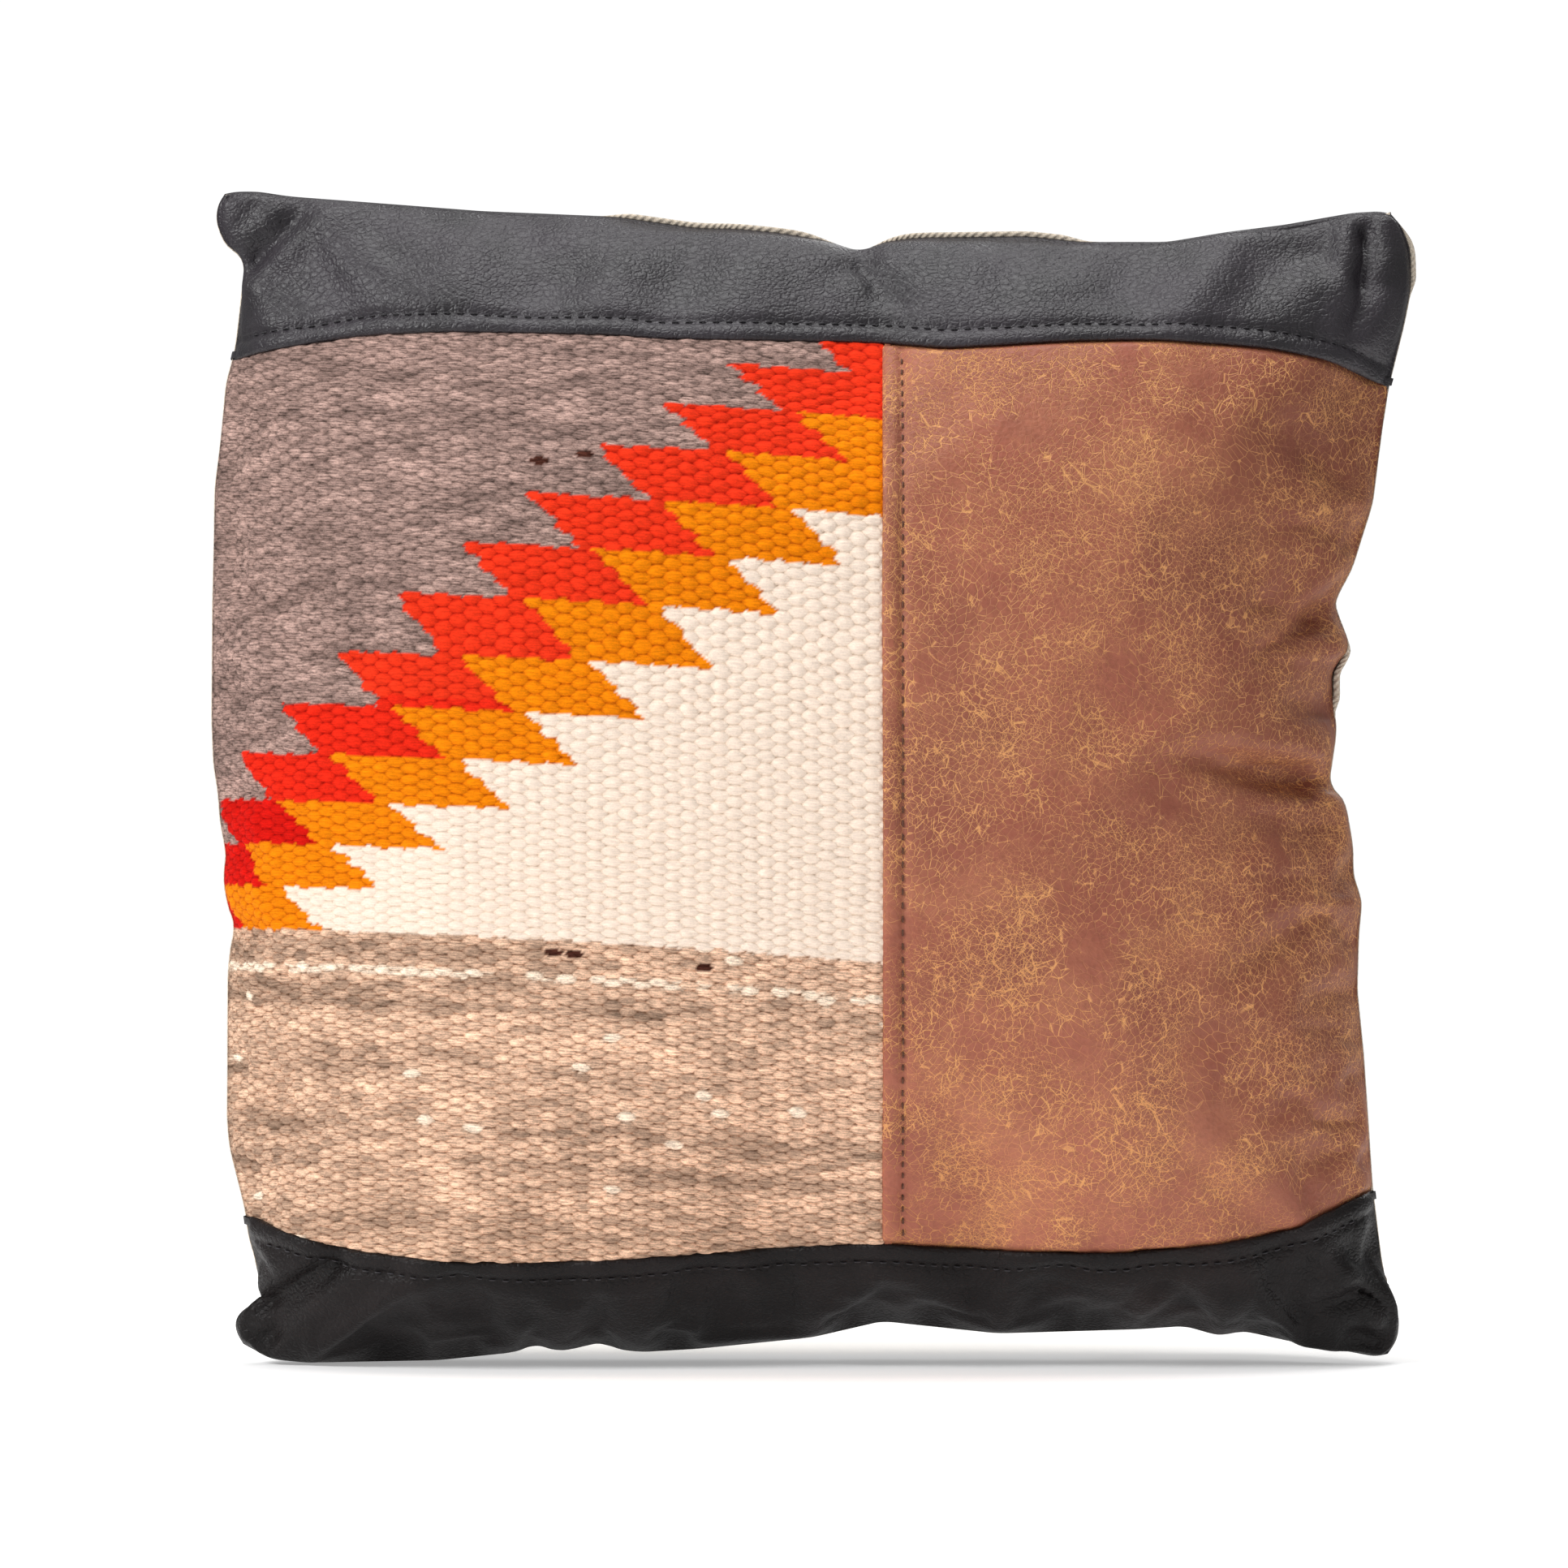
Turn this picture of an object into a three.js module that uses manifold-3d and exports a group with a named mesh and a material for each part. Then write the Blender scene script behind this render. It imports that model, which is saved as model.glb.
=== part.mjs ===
import * as THREE from 'three';
import { mergeVertices } from 'three/addons/utils/BufferGeometryUtils.js';
import Module from 'manifold-3d';

const wasm = await Module();
wasm.setup();

// Outline of the stuffed cover, in millimetres. The front faces -Y and the pillow stands on its lower edge.
const HEIGHT_LEFT = 433; // top left corner
const HEIGHT_RIGHT = 428; // top right corner
const TOP_SAG = 14; // how far the top edge dips between its corners
const LEFT_CORNER = 213; // distance from the middle to the left corners
const RIGHT_CORNER = 219;
const RIGHT_PULL = 23; // how far the right edge is drawn in between its corners
const LEFT_BULGE = 6; // how far the left edge swells between its corners
const HALF_DEPTH = 75;
const FOOT_DROP = 9; // how far the two feet are pressed flat against the floor
const ARCH_RISE = 18; // rise of the lower edge between the feet
const MID = 216; // height of the middle, about which the layers are nested

// Nested layers: how far each surface lies inside the cover's outer surface.
const COVER_THICK = 2.2;
const CASING_IN = 4.6;
const CASING_THICK = 0.9;
const FILL_IN = 6.4;
const SEAM_GAP = 0.2; // each side of a seam
const ZIP_DENT = 5.4; // how far the insert is pressed in under the zipper

// Seam lines on the front.
const CENTRE_SEAM_X = 26;
const STITCH_IN = 7; // distance of the topstitching from a turned edge
const THREAD_R = 0.35;

// Zipper, along X low on the back, in a slit between the bottom band and the back panel.
const ZIP_Y = 41;
const ZIP_Z = 30;
const ZIP_TILT = Math.PI / 6; // the back slopes outwards and up by this angle
const ZIP_UNDER = 3.3; // the chain lies this far under the cover's surface
const SLIT_HALF = 7;
const SLIT_END = 147;
const CHAIN_END = 138;
const STOP_AT = 134;
const TAPE_END = 150;
const SLIDER_X = 126; // closed position
const HINGE_N = 4.8; // height of the pull tab's pin over the chain's middle

const clamp = (value, low, high) => Math.min(high, Math.max(low, value));
const mix = (a, b, t) => a + (b - a) * t;
const fade = (value, from, to) => {
  const t = clamp((value - from) / (to - from), 0, 1);
  return 1 - t * t * (3 - 2 * t);
};

// The outline's four edges. u runs from left to right and v from bottom to top, both from -1 to 1.
const leftEdge = (v) => -LEFT_CORNER - LEFT_BULGE * (1 - v * v);
const rightEdge = (v) => RIGHT_CORNER - RIGHT_PULL * (1 - v * v);
const topEdge = (u) => mix(HEIGHT_LEFT, HEIGHT_RIGHT, (u + 1) / 2) - TOP_SAG * (1 - u * u);
const lowEdge = (u) => -FOOT_DROP + ARCH_RISE * Math.exp(-((u / 0.38) ** 4));
const heightAt = (u, v) => mix(lowEdge(u), topEdge(u), (v + 1) / 2);
const rowAt = (u, z) => (2 * (z - lowEdge(u))) / (topEdge(u) - lowEdge(u)) - 1;
const columnAt = (x, v) => (2 * x - leftEdge(v) - rightEdge(v)) / (rightEdge(v) - leftEdge(v));

// Half the pillow's depth at a place on its face: blunt and even along the bottom, slimmer at the top.
function plumpness(u, v) {
  const low = (1 - v) / 2;
  const across = (1 - Math.abs(u) ** (2.6 + 3.4 * low ** 4)) ** 0.6;
  return HALF_DEPTH * across * (1 - v * v) ** (0.58 - 0.16 * low);
}

// The back is drawn flat along the zipper, and the insert is pressed in under it.
function flatAlongZip(x, y, z, dent) {
  const up = (z - ZIP_Z) / Math.cos(ZIP_TILT);
  const share = fade(Math.abs(x), 156, 204) * fade(Math.abs(up), 17, 36);
  return mix(y, ZIP_Y + (z - ZIP_Z) * Math.tan(ZIP_TILT) - dent, share);
}

// A point of a nested layer. side is -1 on the front, 1 on the back and 0 on the edge between them.
function skin(u, v, side, inset, dent = 0) {
  const x = mix(leftEdge(v), rightEdge(v), (u + 1) / 2);
  const z = Math.max(0, heightAt(u, v));
  let y = plumpness(u, v);
  if (side > 0) y = flatAlongZip(x, y, z, dent);
  const flat = 1 - inset / 205;
  const deep = 1 - inset / HALF_DEPTH;
  return [x * flat, side * Math.max(SEAM_GAP, y * deep), MID + (z - MID) * flat];
}

// A closed sheet between two grids of points, with walls around its rim.
function closedSheet(outer, inner) {
  const rows = outer.length;
  const cols = outer[0].length;
  const points = [...outer.flat(), ...inner.flat()];
  const at = (layer, i, j) => layer * rows * cols + i * cols + j;
  const faces = [];
  const quad = (a, b, c, d) => faces.push(a, b, c, a, c, d);
  for (let i = 0; i + 1 < rows; i++) {
    for (let j = 0; j + 1 < cols; j++) {
      quad(at(0, i, j), at(0, i, j + 1), at(0, i + 1, j + 1), at(0, i + 1, j));
      quad(at(1, i, j), at(1, i + 1, j), at(1, i + 1, j + 1), at(1, i, j + 1));
    }
  }
  for (let j = 0; j + 1 < cols; j++) {
    quad(at(0, 0, j), at(1, 0, j), at(1, 0, j + 1), at(0, 0, j + 1));
    quad(at(0, rows - 1, j), at(0, rows - 1, j + 1), at(1, rows - 1, j + 1), at(1, rows - 1, j));
  }
  for (let i = 0; i + 1 < rows; i++) {
    quad(at(0, i, 0), at(0, i + 1, 0), at(1, i + 1, 0), at(1, i, 0));
    quad(at(0, i, cols - 1), at(1, i, cols - 1), at(1, i + 1, cols - 1), at(0, i + 1, cols - 1));
  }
  const geometry = new THREE.BufferGeometry();
  geometry.setAttribute('position', new THREE.Float32BufferAttribute(points.flat(), 3));
  geometry.setIndex(volumeOf(points, faces) < 0 ? turned(faces) : faces);
  geometry.computeVertexNormals();
  return geometry;
}

function volumeOf(points, faces) {
  let total = 0;
  for (let i = 0; i < faces.length; i += 3) {
    const [a, b, c] = [0, 1, 2].map((k) => new THREE.Vector3(...points[faces[i + k]]));
    total += a.dot(b.cross(c)) / 6;
  }
  return total;
}

const turned = (faces) => faces.map((_, i) => faces[i - (i % 3) + [0, 2, 1][i % 3]]);

// Columns shared by every panel, close together near the side edges, with one on the centre seam.
const LEFT_COLS = 8;
const RIGHT_COLS = 7;
const columns = (from, to) => Array.from({ length: to - from + 1 }, (_, i) => from + i);
function columnU(j, v) {
  const seam = columnAt(CENTRE_SEAM_X, v);
  const closer = (t) => 1 - Math.cos((t * Math.PI) / 2);
  if (j <= LEFT_COLS) return mix(-1, seam, closer(j / LEFT_COLS));
  return mix(1, seam, closer((LEFT_COLS + RIGHT_COLS - j) / RIGHT_COLS));
}

// The two band seams curve towards the corners.
const bottomSeam = (u) => -0.857 + 0.15 * Math.abs(u) ** 3;
const topSeam = (u) => 0.81 - 0.11 * Math.abs(u) ** 3;
const slitHalf = (u) => {
  const x = mix(leftEdge(-0.85), rightEdge(-0.85), (u + 1) / 2);
  return mix(0.3, SLIT_HALF, fade(Math.abs(x), SLIT_END, SLIT_END + 12)) * Math.cos(ZIP_TILT);
};
const slitLow = (u) => rowAt(u, ZIP_Z - slitHalf(u));
const slitHigh = (u) => rowAt(u, ZIP_Z + slitHalf(u));

// One panel: rows are [row function of u, side], cols are column numbers, shift moves the first and last column.
function panel(rows, cols, shift = [0, 0]) {
  const grid = (inset) =>
    rows.map(([row, side]) =>
      cols.map((j, k) => {
        let u = columnU(j, 0);
        for (let n = 0; n < 4; n++) u = columnU(j, row(u));
        if (k === 0) u += shift[0];
        if (k === cols.length - 1) u += shift[1];
        return skin(u, row(u), side, inset);
      }),
    );
  return closedSheet(grid(0), grid(COVER_THICK));
}

const ALL = columns(0, LEFT_COLS + RIGHT_COLS);
const INSERT_ROWS = [-1, -0.984, -0.95, -0.89, -0.8,
  -0.7, -0.58, -0.4, -0.18, 0.06, 0.3, 0.54, 0.73, 0.87, 0.95, 0.985, 1];
const GAP_V = SEAM_GAP / MID;
const GAP_U = SEAM_GAP / 205;
const ramp = (n, power = 1) => Array.from({ length: n + 1 }, (_, i) => (i / n) ** power);

function middlePanel(cols, shift) {
  const rows = ramp(9).map((t) => [(u) => mix(bottomSeam(u) + GAP_V, topSeam(u) - GAP_V, t), -1]);
  return panel(rows, cols, shift);
}

function topBand() {
  return panel([0, 0.32, 0.58, 0.78, 0.92, 1].map((t) => [
    (u) => mix(topSeam(u) + GAP_V, 1, t), -1]), ALL);
}

function bottomBand() {
  const front = [1, 0.68, 0.4, 0.195, 0.08].map((t) => [
    (u) => mix(-1, bottomSeam(u) - GAP_V, t), -1]);
  const back = [0.1, 0.255, 0.5, 0.75, 1].map((t) => [(u) => mix(-1, slitLow(u), t), 1]);
  return panel([...front, [() => -1, 0], ...back], ALL);
}

function backPanel() {
  const low = [(u) => slitHigh(u), (u) => rowAt(u, ZIP_Z + 14.5)];
  const rest = INSERT_ROWS.slice(5).map((v) => () => v);
  return panel([...low, ...rest].map((row) => [row, 1]), ALL);
}

// The insert: a whole face of the pillow from edge to edge.
function wholeFace(side, inset) {
  return INSERT_ROWS.map((v) => ALL.map((j) => skin(columnU(j, v), v, side, inset, ZIP_DENT)));
}

function tubeAlong(points, radius) {
  const path = new THREE.CatmullRomCurve3(points.map((p) => new THREE.Vector3(...p)));
  const section = new THREE.Shape(Array.from({ length: 6 }, (_, i) =>
    new THREE.Vector2(radius * Math.cos((i * Math.PI) / 3), radius * Math.sin((i * Math.PI) / 3))));
  return new THREE.ExtrudeGeometry(section, { extrudePath: path, steps: 40 });
}

// A line of thread just proud of the front, along a list of [u, v].
function threadAlong(places) {
  const lift = THREAD_R + 0.9;
  const point = (u, v) => new THREE.Vector3(...skin(u, v, -1, 0));
  return tubeAlong(places.map(([u, v]) => {
    const across = point(u + 0.004, v).sub(point(u - 0.004, v));
    const up = point(u, v + 0.004).sub(point(u, v - 0.004));
    return point(u, v).addScaledVector(across.cross(up).normalize(), lift).toArray();
  }), THREAD_R);
}

// The zipper's own frame: x along the chain, y out of the back, z up the back.
const ZIP_FRAME = new THREE.Matrix4().makeBasis(
  new THREE.Vector3(1, 0, 0),
  new THREE.Vector3(0, Math.cos(ZIP_TILT), -Math.sin(ZIP_TILT)),
  new THREE.Vector3(0, Math.sin(ZIP_TILT), Math.cos(ZIP_TILT)),
).setPosition(
  0, ZIP_Y - ZIP_UNDER * Math.cos(ZIP_TILT), ZIP_Z + ZIP_UNDER * Math.sin(ZIP_TILT));

const onZip = (geometry) => geometry.applyMatrix4(ZIP_FRAME);

function block([a0, a1], [n0, n1], [w0, w1]) {
  const box = new THREE.BoxGeometry(a1 - a0, n1 - n0, w1 - w0);
  return box.translate((a0 + a1) / 2, (n0 + n1) / 2, (w0 + w1) / 2);
}

// A flat piece with the given outline of [x, z], between two heights.
function plate(outline, [n0, n1]) {
  const shape = new THREE.Shape(outline.map(([a, w]) => new THREE.Vector2(a, w)));
  const flat = new THREE.ExtrudeGeometry(shape, { depth: n1 - n0, bevelEnabled: false });
  return flat.translate(0, 0, n0).rotateX(-Math.PI / 2);
}

function solid(geometry) {
  const bare = geometry.clone();
  bare.deleteAttribute('normal');
  bare.deleteAttribute('uv');
  const merged = mergeVertices(bare, 1e-4);
  return new wasm.Manifold(new wasm.Mesh({
    numProp: 3,
    vertProperties: Float32Array.from(merged.attributes.position.array),
    triVerts: Uint32Array.from(merged.index.array),
  }));
}

function joined(pieces) {
  const mesh = pieces.map(solid).reduce((a, b) => a.add(b)).getMesh();
  const geometry = new THREE.BufferGeometry();
  geometry.setAttribute('position', new THREE.Float32BufferAttribute(mesh.vertProperties, 3));
  geometry.setIndex([...mesh.triVerts]);
  geometry.computeVertexNormals();
  return geometry;
}

// Slider: two plates over and under the chain, joined by a post at the nose, with an arch for the tab.
function slider() {
  const wing = [[-6, -4], [2, -5], [6, -3.4], [6, 3.4], [2, 5], [-6, 4]];
  const pieces = [
    plate(wing, [1.6, 2.6]),
    plate(wing, [-2.6, -1.6]),
    block([3.4, 5], [-2, 2], [-0.6, 0.6]),
    block([-4.4, -3.4], [2.2, 6.4], [-0.8, 0.8]),
    block([3.4, 4.4], [2.2, 6.4], [-0.8, 0.8]),
    block([-4.4, 4.4], [5.7, 6.4], [-0.8, 0.8]),
  ];
  return joined(pieces).translate(SLIDER_X, 0, 0);
}

// Pull tab: a pin under the arch, two side bars and a flat grip, hanging out and down from the back.
function pullTab() {
  const pin = new THREE.CylinderGeometry(0.6, 0.6, 4.6, 12).rotateX(Math.PI / 2);
  const pieces = [
    pin,
    block([-0.6, 0.6], [0, 7], [1.3, 2.4]),
    block([-0.6, 0.6], [0, 7], [-2.4, -1.3]),
    block([-0.6, 0.6], [6.2, 24], [-3.4, 3.4]),
    block([-0.6, 0.6], [24, 25.2], [-2.4, 2.4]),
  ];
  return joined(pieces).translate(SLIDER_X, HINGE_N, 0);
}

const pillow = new THREE.Group();
pillow.name = 'throw_pillow';
function add(name, geometry, color, roughness) {
  const mesh = new THREE.Mesh(geometry, new THREE.MeshStandardMaterial({ color, roughness }));
  mesh.name = name;
  pillow.add(mesh);
}

add('front_wool_panel', middlePanel(columns(0, LEFT_COLS), [0, -GAP_U]), 0xb06a4a, 0.95);
add('front_brown_leather_panel',
  middlePanel(columns(LEFT_COLS, LEFT_COLS + RIGHT_COLS), [GAP_U, 0]), 0x8e543c, 0.55);
add('top_black_leather_band', topBand(), 0x3c383c, 0.5);
add('bottom_black_leather_band', bottomBand(), 0x282324, 0.5);
add('back_cloth_panel', backPanel(), 0xe4d8c4, 0.95);

const lineU = (v) => columnAt(CENTRE_SEAM_X + STITCH_IN, v);
const alongEdge = ramp(30).map((t) => -0.955 * Math.cos(t * Math.PI));
const inStep = STITCH_IN / MID;
add('centre_seam_thread', threadAlong(
  ramp(10).map((t) => mix(-0.84, 0.795, t)).map((v) => [lineU(v), v])), 0x4a2a1c, 0.7);
add('top_band_thread', threadAlong(alongEdge.map((u) => [u, topSeam(u) + inStep])), 0x2c292c, 0.7);
add('bottom_band_thread', threadAlong(alongEdge.map((u) =>
  [u, bottomSeam(u) - inStep * 0.9])), 0x2c292c, 0.7);

add('insert_casing_front', closedSheet(
  wholeFace(-1, CASING_IN), wholeFace(-1, CASING_IN + CASING_THICK)), 0xf2efe8, 0.9);
add('insert_casing_back', closedSheet(
  wholeFace(1, CASING_IN), wholeFace(1, CASING_IN + CASING_THICK)), 0xf2efe8, 0.9);
add('fibre_fill', closedSheet(wholeFace(-1, FILL_IN), wholeFace(1, FILL_IN)), 0xfafafa, 1);

for (const [name, turn] of [['upper', 1], ['lower', -1]]) {
  const span = (from, to) => (turn > 0 ? [from, to] : [-to, -from]);
  add(`zip_tape_${name}`, onZip(block([-TAPE_END, TAPE_END], [-0.4, 0.4], span(3.4, 16))),
    0x2a2628, 0.9);
  add(`zip_teeth_${name}`, onZip(block([0.5 - STOP_AT, STOP_AT - 0.5], [-1.2, 1.2], span(0.9, 3.1))),
    0x1c1a1b, 0.5);
  add(`zip_top_stop_${name}`, onZip(block([STOP_AT, CHAIN_END], [-1.4, 1.4], span(0.9, 3.1))),
    0x8c8c8c, 0.4);
  add(`zip_stitch_${name}`, onZip(block([-SLIT_END, SLIT_END],
    [ZIP_UNDER + 0.3, ZIP_UNDER + 0.8], span(9.7, 10.3))), 0x2c292c, 0.8);
}
add('zip_bottom_stop', onZip(block([-CHAIN_END, -STOP_AT], [-1.4, 1.4], [-3.1, 3.1])), 0x8c8c8c, 0.4);
add('zip_slider', onZip(slider()), 0x8c8c8c, 0.35);
add('zip_pull_tab', onZip(pullTab()), 0x9a9a9a, 0.35);

export default pillow;
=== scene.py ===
import math

import bmesh
import bpy
import numpy as np
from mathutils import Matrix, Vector
from mathutils.bvhtree import BVHTree


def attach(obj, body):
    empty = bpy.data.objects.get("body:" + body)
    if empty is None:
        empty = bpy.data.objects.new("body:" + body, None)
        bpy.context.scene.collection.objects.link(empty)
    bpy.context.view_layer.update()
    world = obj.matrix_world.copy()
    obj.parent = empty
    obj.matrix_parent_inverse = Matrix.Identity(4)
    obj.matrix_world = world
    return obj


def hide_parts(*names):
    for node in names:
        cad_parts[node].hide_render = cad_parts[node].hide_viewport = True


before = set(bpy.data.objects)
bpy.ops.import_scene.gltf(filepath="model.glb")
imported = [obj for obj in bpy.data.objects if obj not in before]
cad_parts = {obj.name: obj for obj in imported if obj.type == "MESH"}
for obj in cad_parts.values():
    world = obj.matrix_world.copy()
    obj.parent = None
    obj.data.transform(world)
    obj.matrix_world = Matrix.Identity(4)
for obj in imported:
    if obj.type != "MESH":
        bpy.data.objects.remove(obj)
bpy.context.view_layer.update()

MM = 0.001

# The eye, and how wide a view it takes in at the pillow's middle plane. Lengths are in millimetres
# unless a comment says metres.
EYE = (-10.5, -2500.0, 214.2)
VIEW_WIDTH = 579.6

# The stuffed cover's outline as it stands, as (x, z): the long edges from left to right, the sides
# from bottom to top.
TOP_EDGE = [
    (-217.2, 432.3), (-213.6, 433.2), (-204.9, 433.2), (-193.2, 431.4), (-165.3, 429.3), (-122.4, 426.0),
    (-72.3, 423.9), (-42.6, 419.7), (-27.3, 419.4), (-12.0, 417.9), (4.8, 415.2), (18.3, 410.7),
    (24.9, 414.3), (38.1, 416.1), (79.5, 416.7), (99.6, 414.6), (131.4, 414.6), (152.7, 418.2),
    (174.3, 420.9), (200.1, 425.4), (210.9, 426.0), (213.9, 424.8)]
RIGHT_EDGE = [
    (212.7, 3.6), (216.3, 9.0), (216.9, 16.8), (214.5, 23.7), (210.6, 36.0), (207.0, 64.5), (203.7, 114.0),
    (201.3, 138.0), (201.9, 159.0), (203.1, 171.0), (199.8, 180.3), (199.8, 190.8), (196.8, 207.9),
    (190.8, 213.9), (193.8, 234.6), (192.3, 243.3), (192.0, 256.2), (198.9, 264.6), (192.6, 281.1),
    (199.5, 294.0), (207.0, 318.0), (210.6, 345.9), (213.0, 361.2), (218.7, 384.3), (221.4, 398.1),
    (221.1, 411.6), (217.8, 420.6), (213.9, 424.8)]
LOW_EDGE = [
    (-210.3, 7.2), (-205.5, 4.5), (-198.3, 1.5), (-184.5, 0.3), (-138.3, 1.2), (-123.6, 2.7), (-109.5, 4.2),
    (-102.3, 7.2), (-95.7, 4.8), (-90.9, 4.8), (-78.3, 7.8), (-71.4, 5.1), (-63.3, 4.2), (-42.3, 5.4),
    (-0.3, 9.6), (25.8, 15.6), (68.4, 11.1), (119.7, 12.6), (137.7, 13.8), (150.3, 10.2), (159.3, 12.0),
    (179.7, 7.5), (197.7, 4.5), (208.5, 2.4), (212.7, 3.6)]
LEFT_EDGE = [
    (-210.3, 7.2), (-211.8, 9.0), (-213.6, 13.5), (-213.0, 17.4), (-208.5, 21.3), (-201.9, 23.4),
    (-204.3, 28.2), (-205.8, 38.4), (-208.5, 47.4), (-209.4, 55.8), (-215.4, 80.1), (-216.3, 90.0),
    (-216.0, 144.0), (-215.1, 153.6), (-213.3, 161.7), (-216.3, 169.8), (-217.8, 180.0), (-216.6, 188.1),
    (-219.0, 201.0), (-219.6, 210.6), (-221.4, 222.0), (-222.0, 237.9), (-221.7, 279.0), (-220.8, 324.0),
    (-218.7, 341.1), (-216.6, 362.7), (-214.2, 371.1), (-213.0, 377.1), (-211.5, 390.0), (-209.7, 405.0),
    (-210.9, 409.2), (-217.2, 413.7), (-220.5, 422.1), (-219.9, 428.4), (-217.2, 432.3)]
# Turned edges of the two black bands, and the turned edge of the brown leather.
TOP_SEAM = [
    (-222.0, 368.0), (-214.2, 370.2), (-199.5, 374.4), (-165.3, 379.8), (-133.2, 381.0), (-72.3, 379.8),
    (-60.3, 378.6), (25.2, 376.8), (50.1, 374.7), (91.5, 377.4), (128.4, 378.0), (168.0, 375.0),
    (191.1, 370.5), (210.9, 360.9), (222.0, 356.0)]
LOW_SEAM = [
    (-222.0, 60.0), (-209.4, 55.8), (-195.3, 48.6), (-172.5, 42.3), (-138.9, 37.8), (-108.9, 37.2),
    (-72.3, 38.4), (-0.3, 43.8), (26.7, 44.4), (74.4, 41.4), (111.6, 40.8), (148.8, 43.8), (178.8, 49.8),
    (207.0, 64.5), (222.0, 70.0)]
CENTRE_SEAM = 25.8
SEAM_U = 0.15  # where across the front the middle panels take the bands' heights for their shared seam
BETWEEN_BANDS = 345.0  # cloth length between the two bands' turned edges

HALF_DEPTH = 72.0
FACE = 430.0  # the outline's plain width and height
# The zipper's place on the back, its tilt, and how far it lies under the cover's skin.
ZIP_Y, ZIP_Z, ZIP_TILT, ZIP_UNDER = 41.0, 30.0, math.pi / 6, 3.3
SLIT_HALF, SLIT_END = 7.0, 147.0
STITCH_PITCH = 4.9


# ---------------------------------------------------------------- the stuffed shape

def evened(points, spread=2.2, count=1401):
    """Points along an edge, evenly spaced and slightly rounded, with both ends kept."""
    p = np.array(points, float)
    run = np.r_[0, np.cumsum(np.hypot(*np.diff(p, axis=0).T))]
    at = np.linspace(0, run[-1], count)
    line = np.stack([np.interp(at, run, p[:, k]) for k in (0, 1)], 1)
    reach = int(4 * spread / (run[-1] / count))
    bell = np.exp(-0.5 * (np.arange(-reach, reach + 1) * run[-1] / count / spread) ** 2)
    bell /= bell.sum()
    wide = np.concatenate([2 * line[0] - line[reach:0:-1], line, 2 * line[-1] - line[-2:-reach - 2:-1]])
    return np.stack([np.convolve(wide[:, k], bell, "valid") for k in (0, 1)], 1)


class Edge:
    """One edge of the outline, split into its plain sweep and its small dips and swells."""

    def __init__(self, points):
        self.line = evened(points)
        self.at = np.linspace(0, 1, len(self.line))
        curve = 4  # the order of the plain sweep
        plain = np.stack([np.polyval(np.polyfit(self.at, self.line[:, k], curve), self.at)
                          for k in (0, 1)], 1)
        off = (np.outer(1 - self.at, self.line[0] - plain[0])
               + np.outer(self.at, self.line[-1] - plain[-1]))
        self.sweep = plain + off

    def pick(self, line, t):
        return np.stack([np.interp(t, self.at, line[:, k]) for k in (0, 1)], -1)

    def plain(self, t):
        return self.pick(self.sweep, t)

    def detail(self, t):
        return self.pick(self.line - self.sweep, t)


EDGES = {n: Edge(p) for n, p in
         {"top": TOP_EDGE, "right": RIGHT_EDGE, "low": LOW_EDGE, "left": LEFT_EDGE}.items()}


def face_place(u, v):
    """(x, z) of a place on the face: the outline's plain sweep, blended across, with its dips."""
    a, b = ((u + 1) / 2)[..., None], ((v + 1) / 2)[..., None]
    top, low = EDGES["top"], EDGES["low"]
    left, right = EDGES["left"], EDGES["right"]
    ta, tb = a[..., 0], b[..., 0]
    corners = ((1 - a) * (1 - b) * low.line[0] + a * (1 - b) * low.line[-1]
               + (1 - a) * b * top.line[0] + a * b * top.line[-1])
    place = ((1 - b) * low.plain(ta) + b * top.plain(ta)
             + (1 - a) * left.plain(tb) + a * right.plain(tb) - corners)
    # Each edge's dips die away over so many millimetres into the face.
    place += top.detail(ta) * np.exp(-(1 - b) * FACE / 15) + low.detail(ta) * np.exp(-b * FACE / 12)
    place += left.detail(tb) * np.exp(-a * FACE / 14) + right.detail(tb) * np.exp(-(1 - a) * FACE / 20)
    return place


def plumpness(u, v):
    """How far the face stands out from the middle plane, fuller towards the bottom."""
    low = (1 - v) / 2
    across = np.clip(1 - np.abs(u) ** (2.5 + 3.0 * low ** 4), 0, 1) ** 0.56
    return HALF_DEPTH * across * np.clip(1 - v * v, 0, 1) ** (0.54 - 0.12 * low)


def crowded(t, share):
    """Even steps, drawn together towards -1 and 1 by a share."""
    return share * np.sin(t * math.pi / 2) + (1 - share) * t


CELLS = 116
EVEN = np.linspace(-1, 1, CELLS + 1)
STEPS = 0.55 * np.sin(EVEN * math.pi / 2) + 0.45 * EVEN


def quads_of(grid):
    """Four vertex numbers for each cell of a grid of vertex numbers."""
    return np.stack([grid[:-1, :-1], grid[:-1, 1:], grid[1:, 1:], grid[1:, :-1]], -1).reshape(-1, 4)


def shown_mesh(name, points, faces):
    """A piece from points in millimetres, in the scene."""
    mesh = bpy.data.meshes.new(name)
    mesh.from_pydata((np.asarray(points) * MM).tolist(), [], faces)
    piece = bpy.data.objects.new(name, mesh)
    bpy.context.scene.collection.objects.link(piece)
    return piece


def starting_shape():
    """The front and back grids before the stuffing pushes them out, rows from bottom to top."""
    v, u = np.meshgrid(STEPS, STEPS, indexing="ij")
    place, deep = face_place(u, v), plumpness(u, v)
    front = np.stack([place[..., 0], -deep, place[..., 1]], -1)
    back = np.stack([place[..., 0], deep, place[..., 1]], -1)
    return front, back


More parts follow.
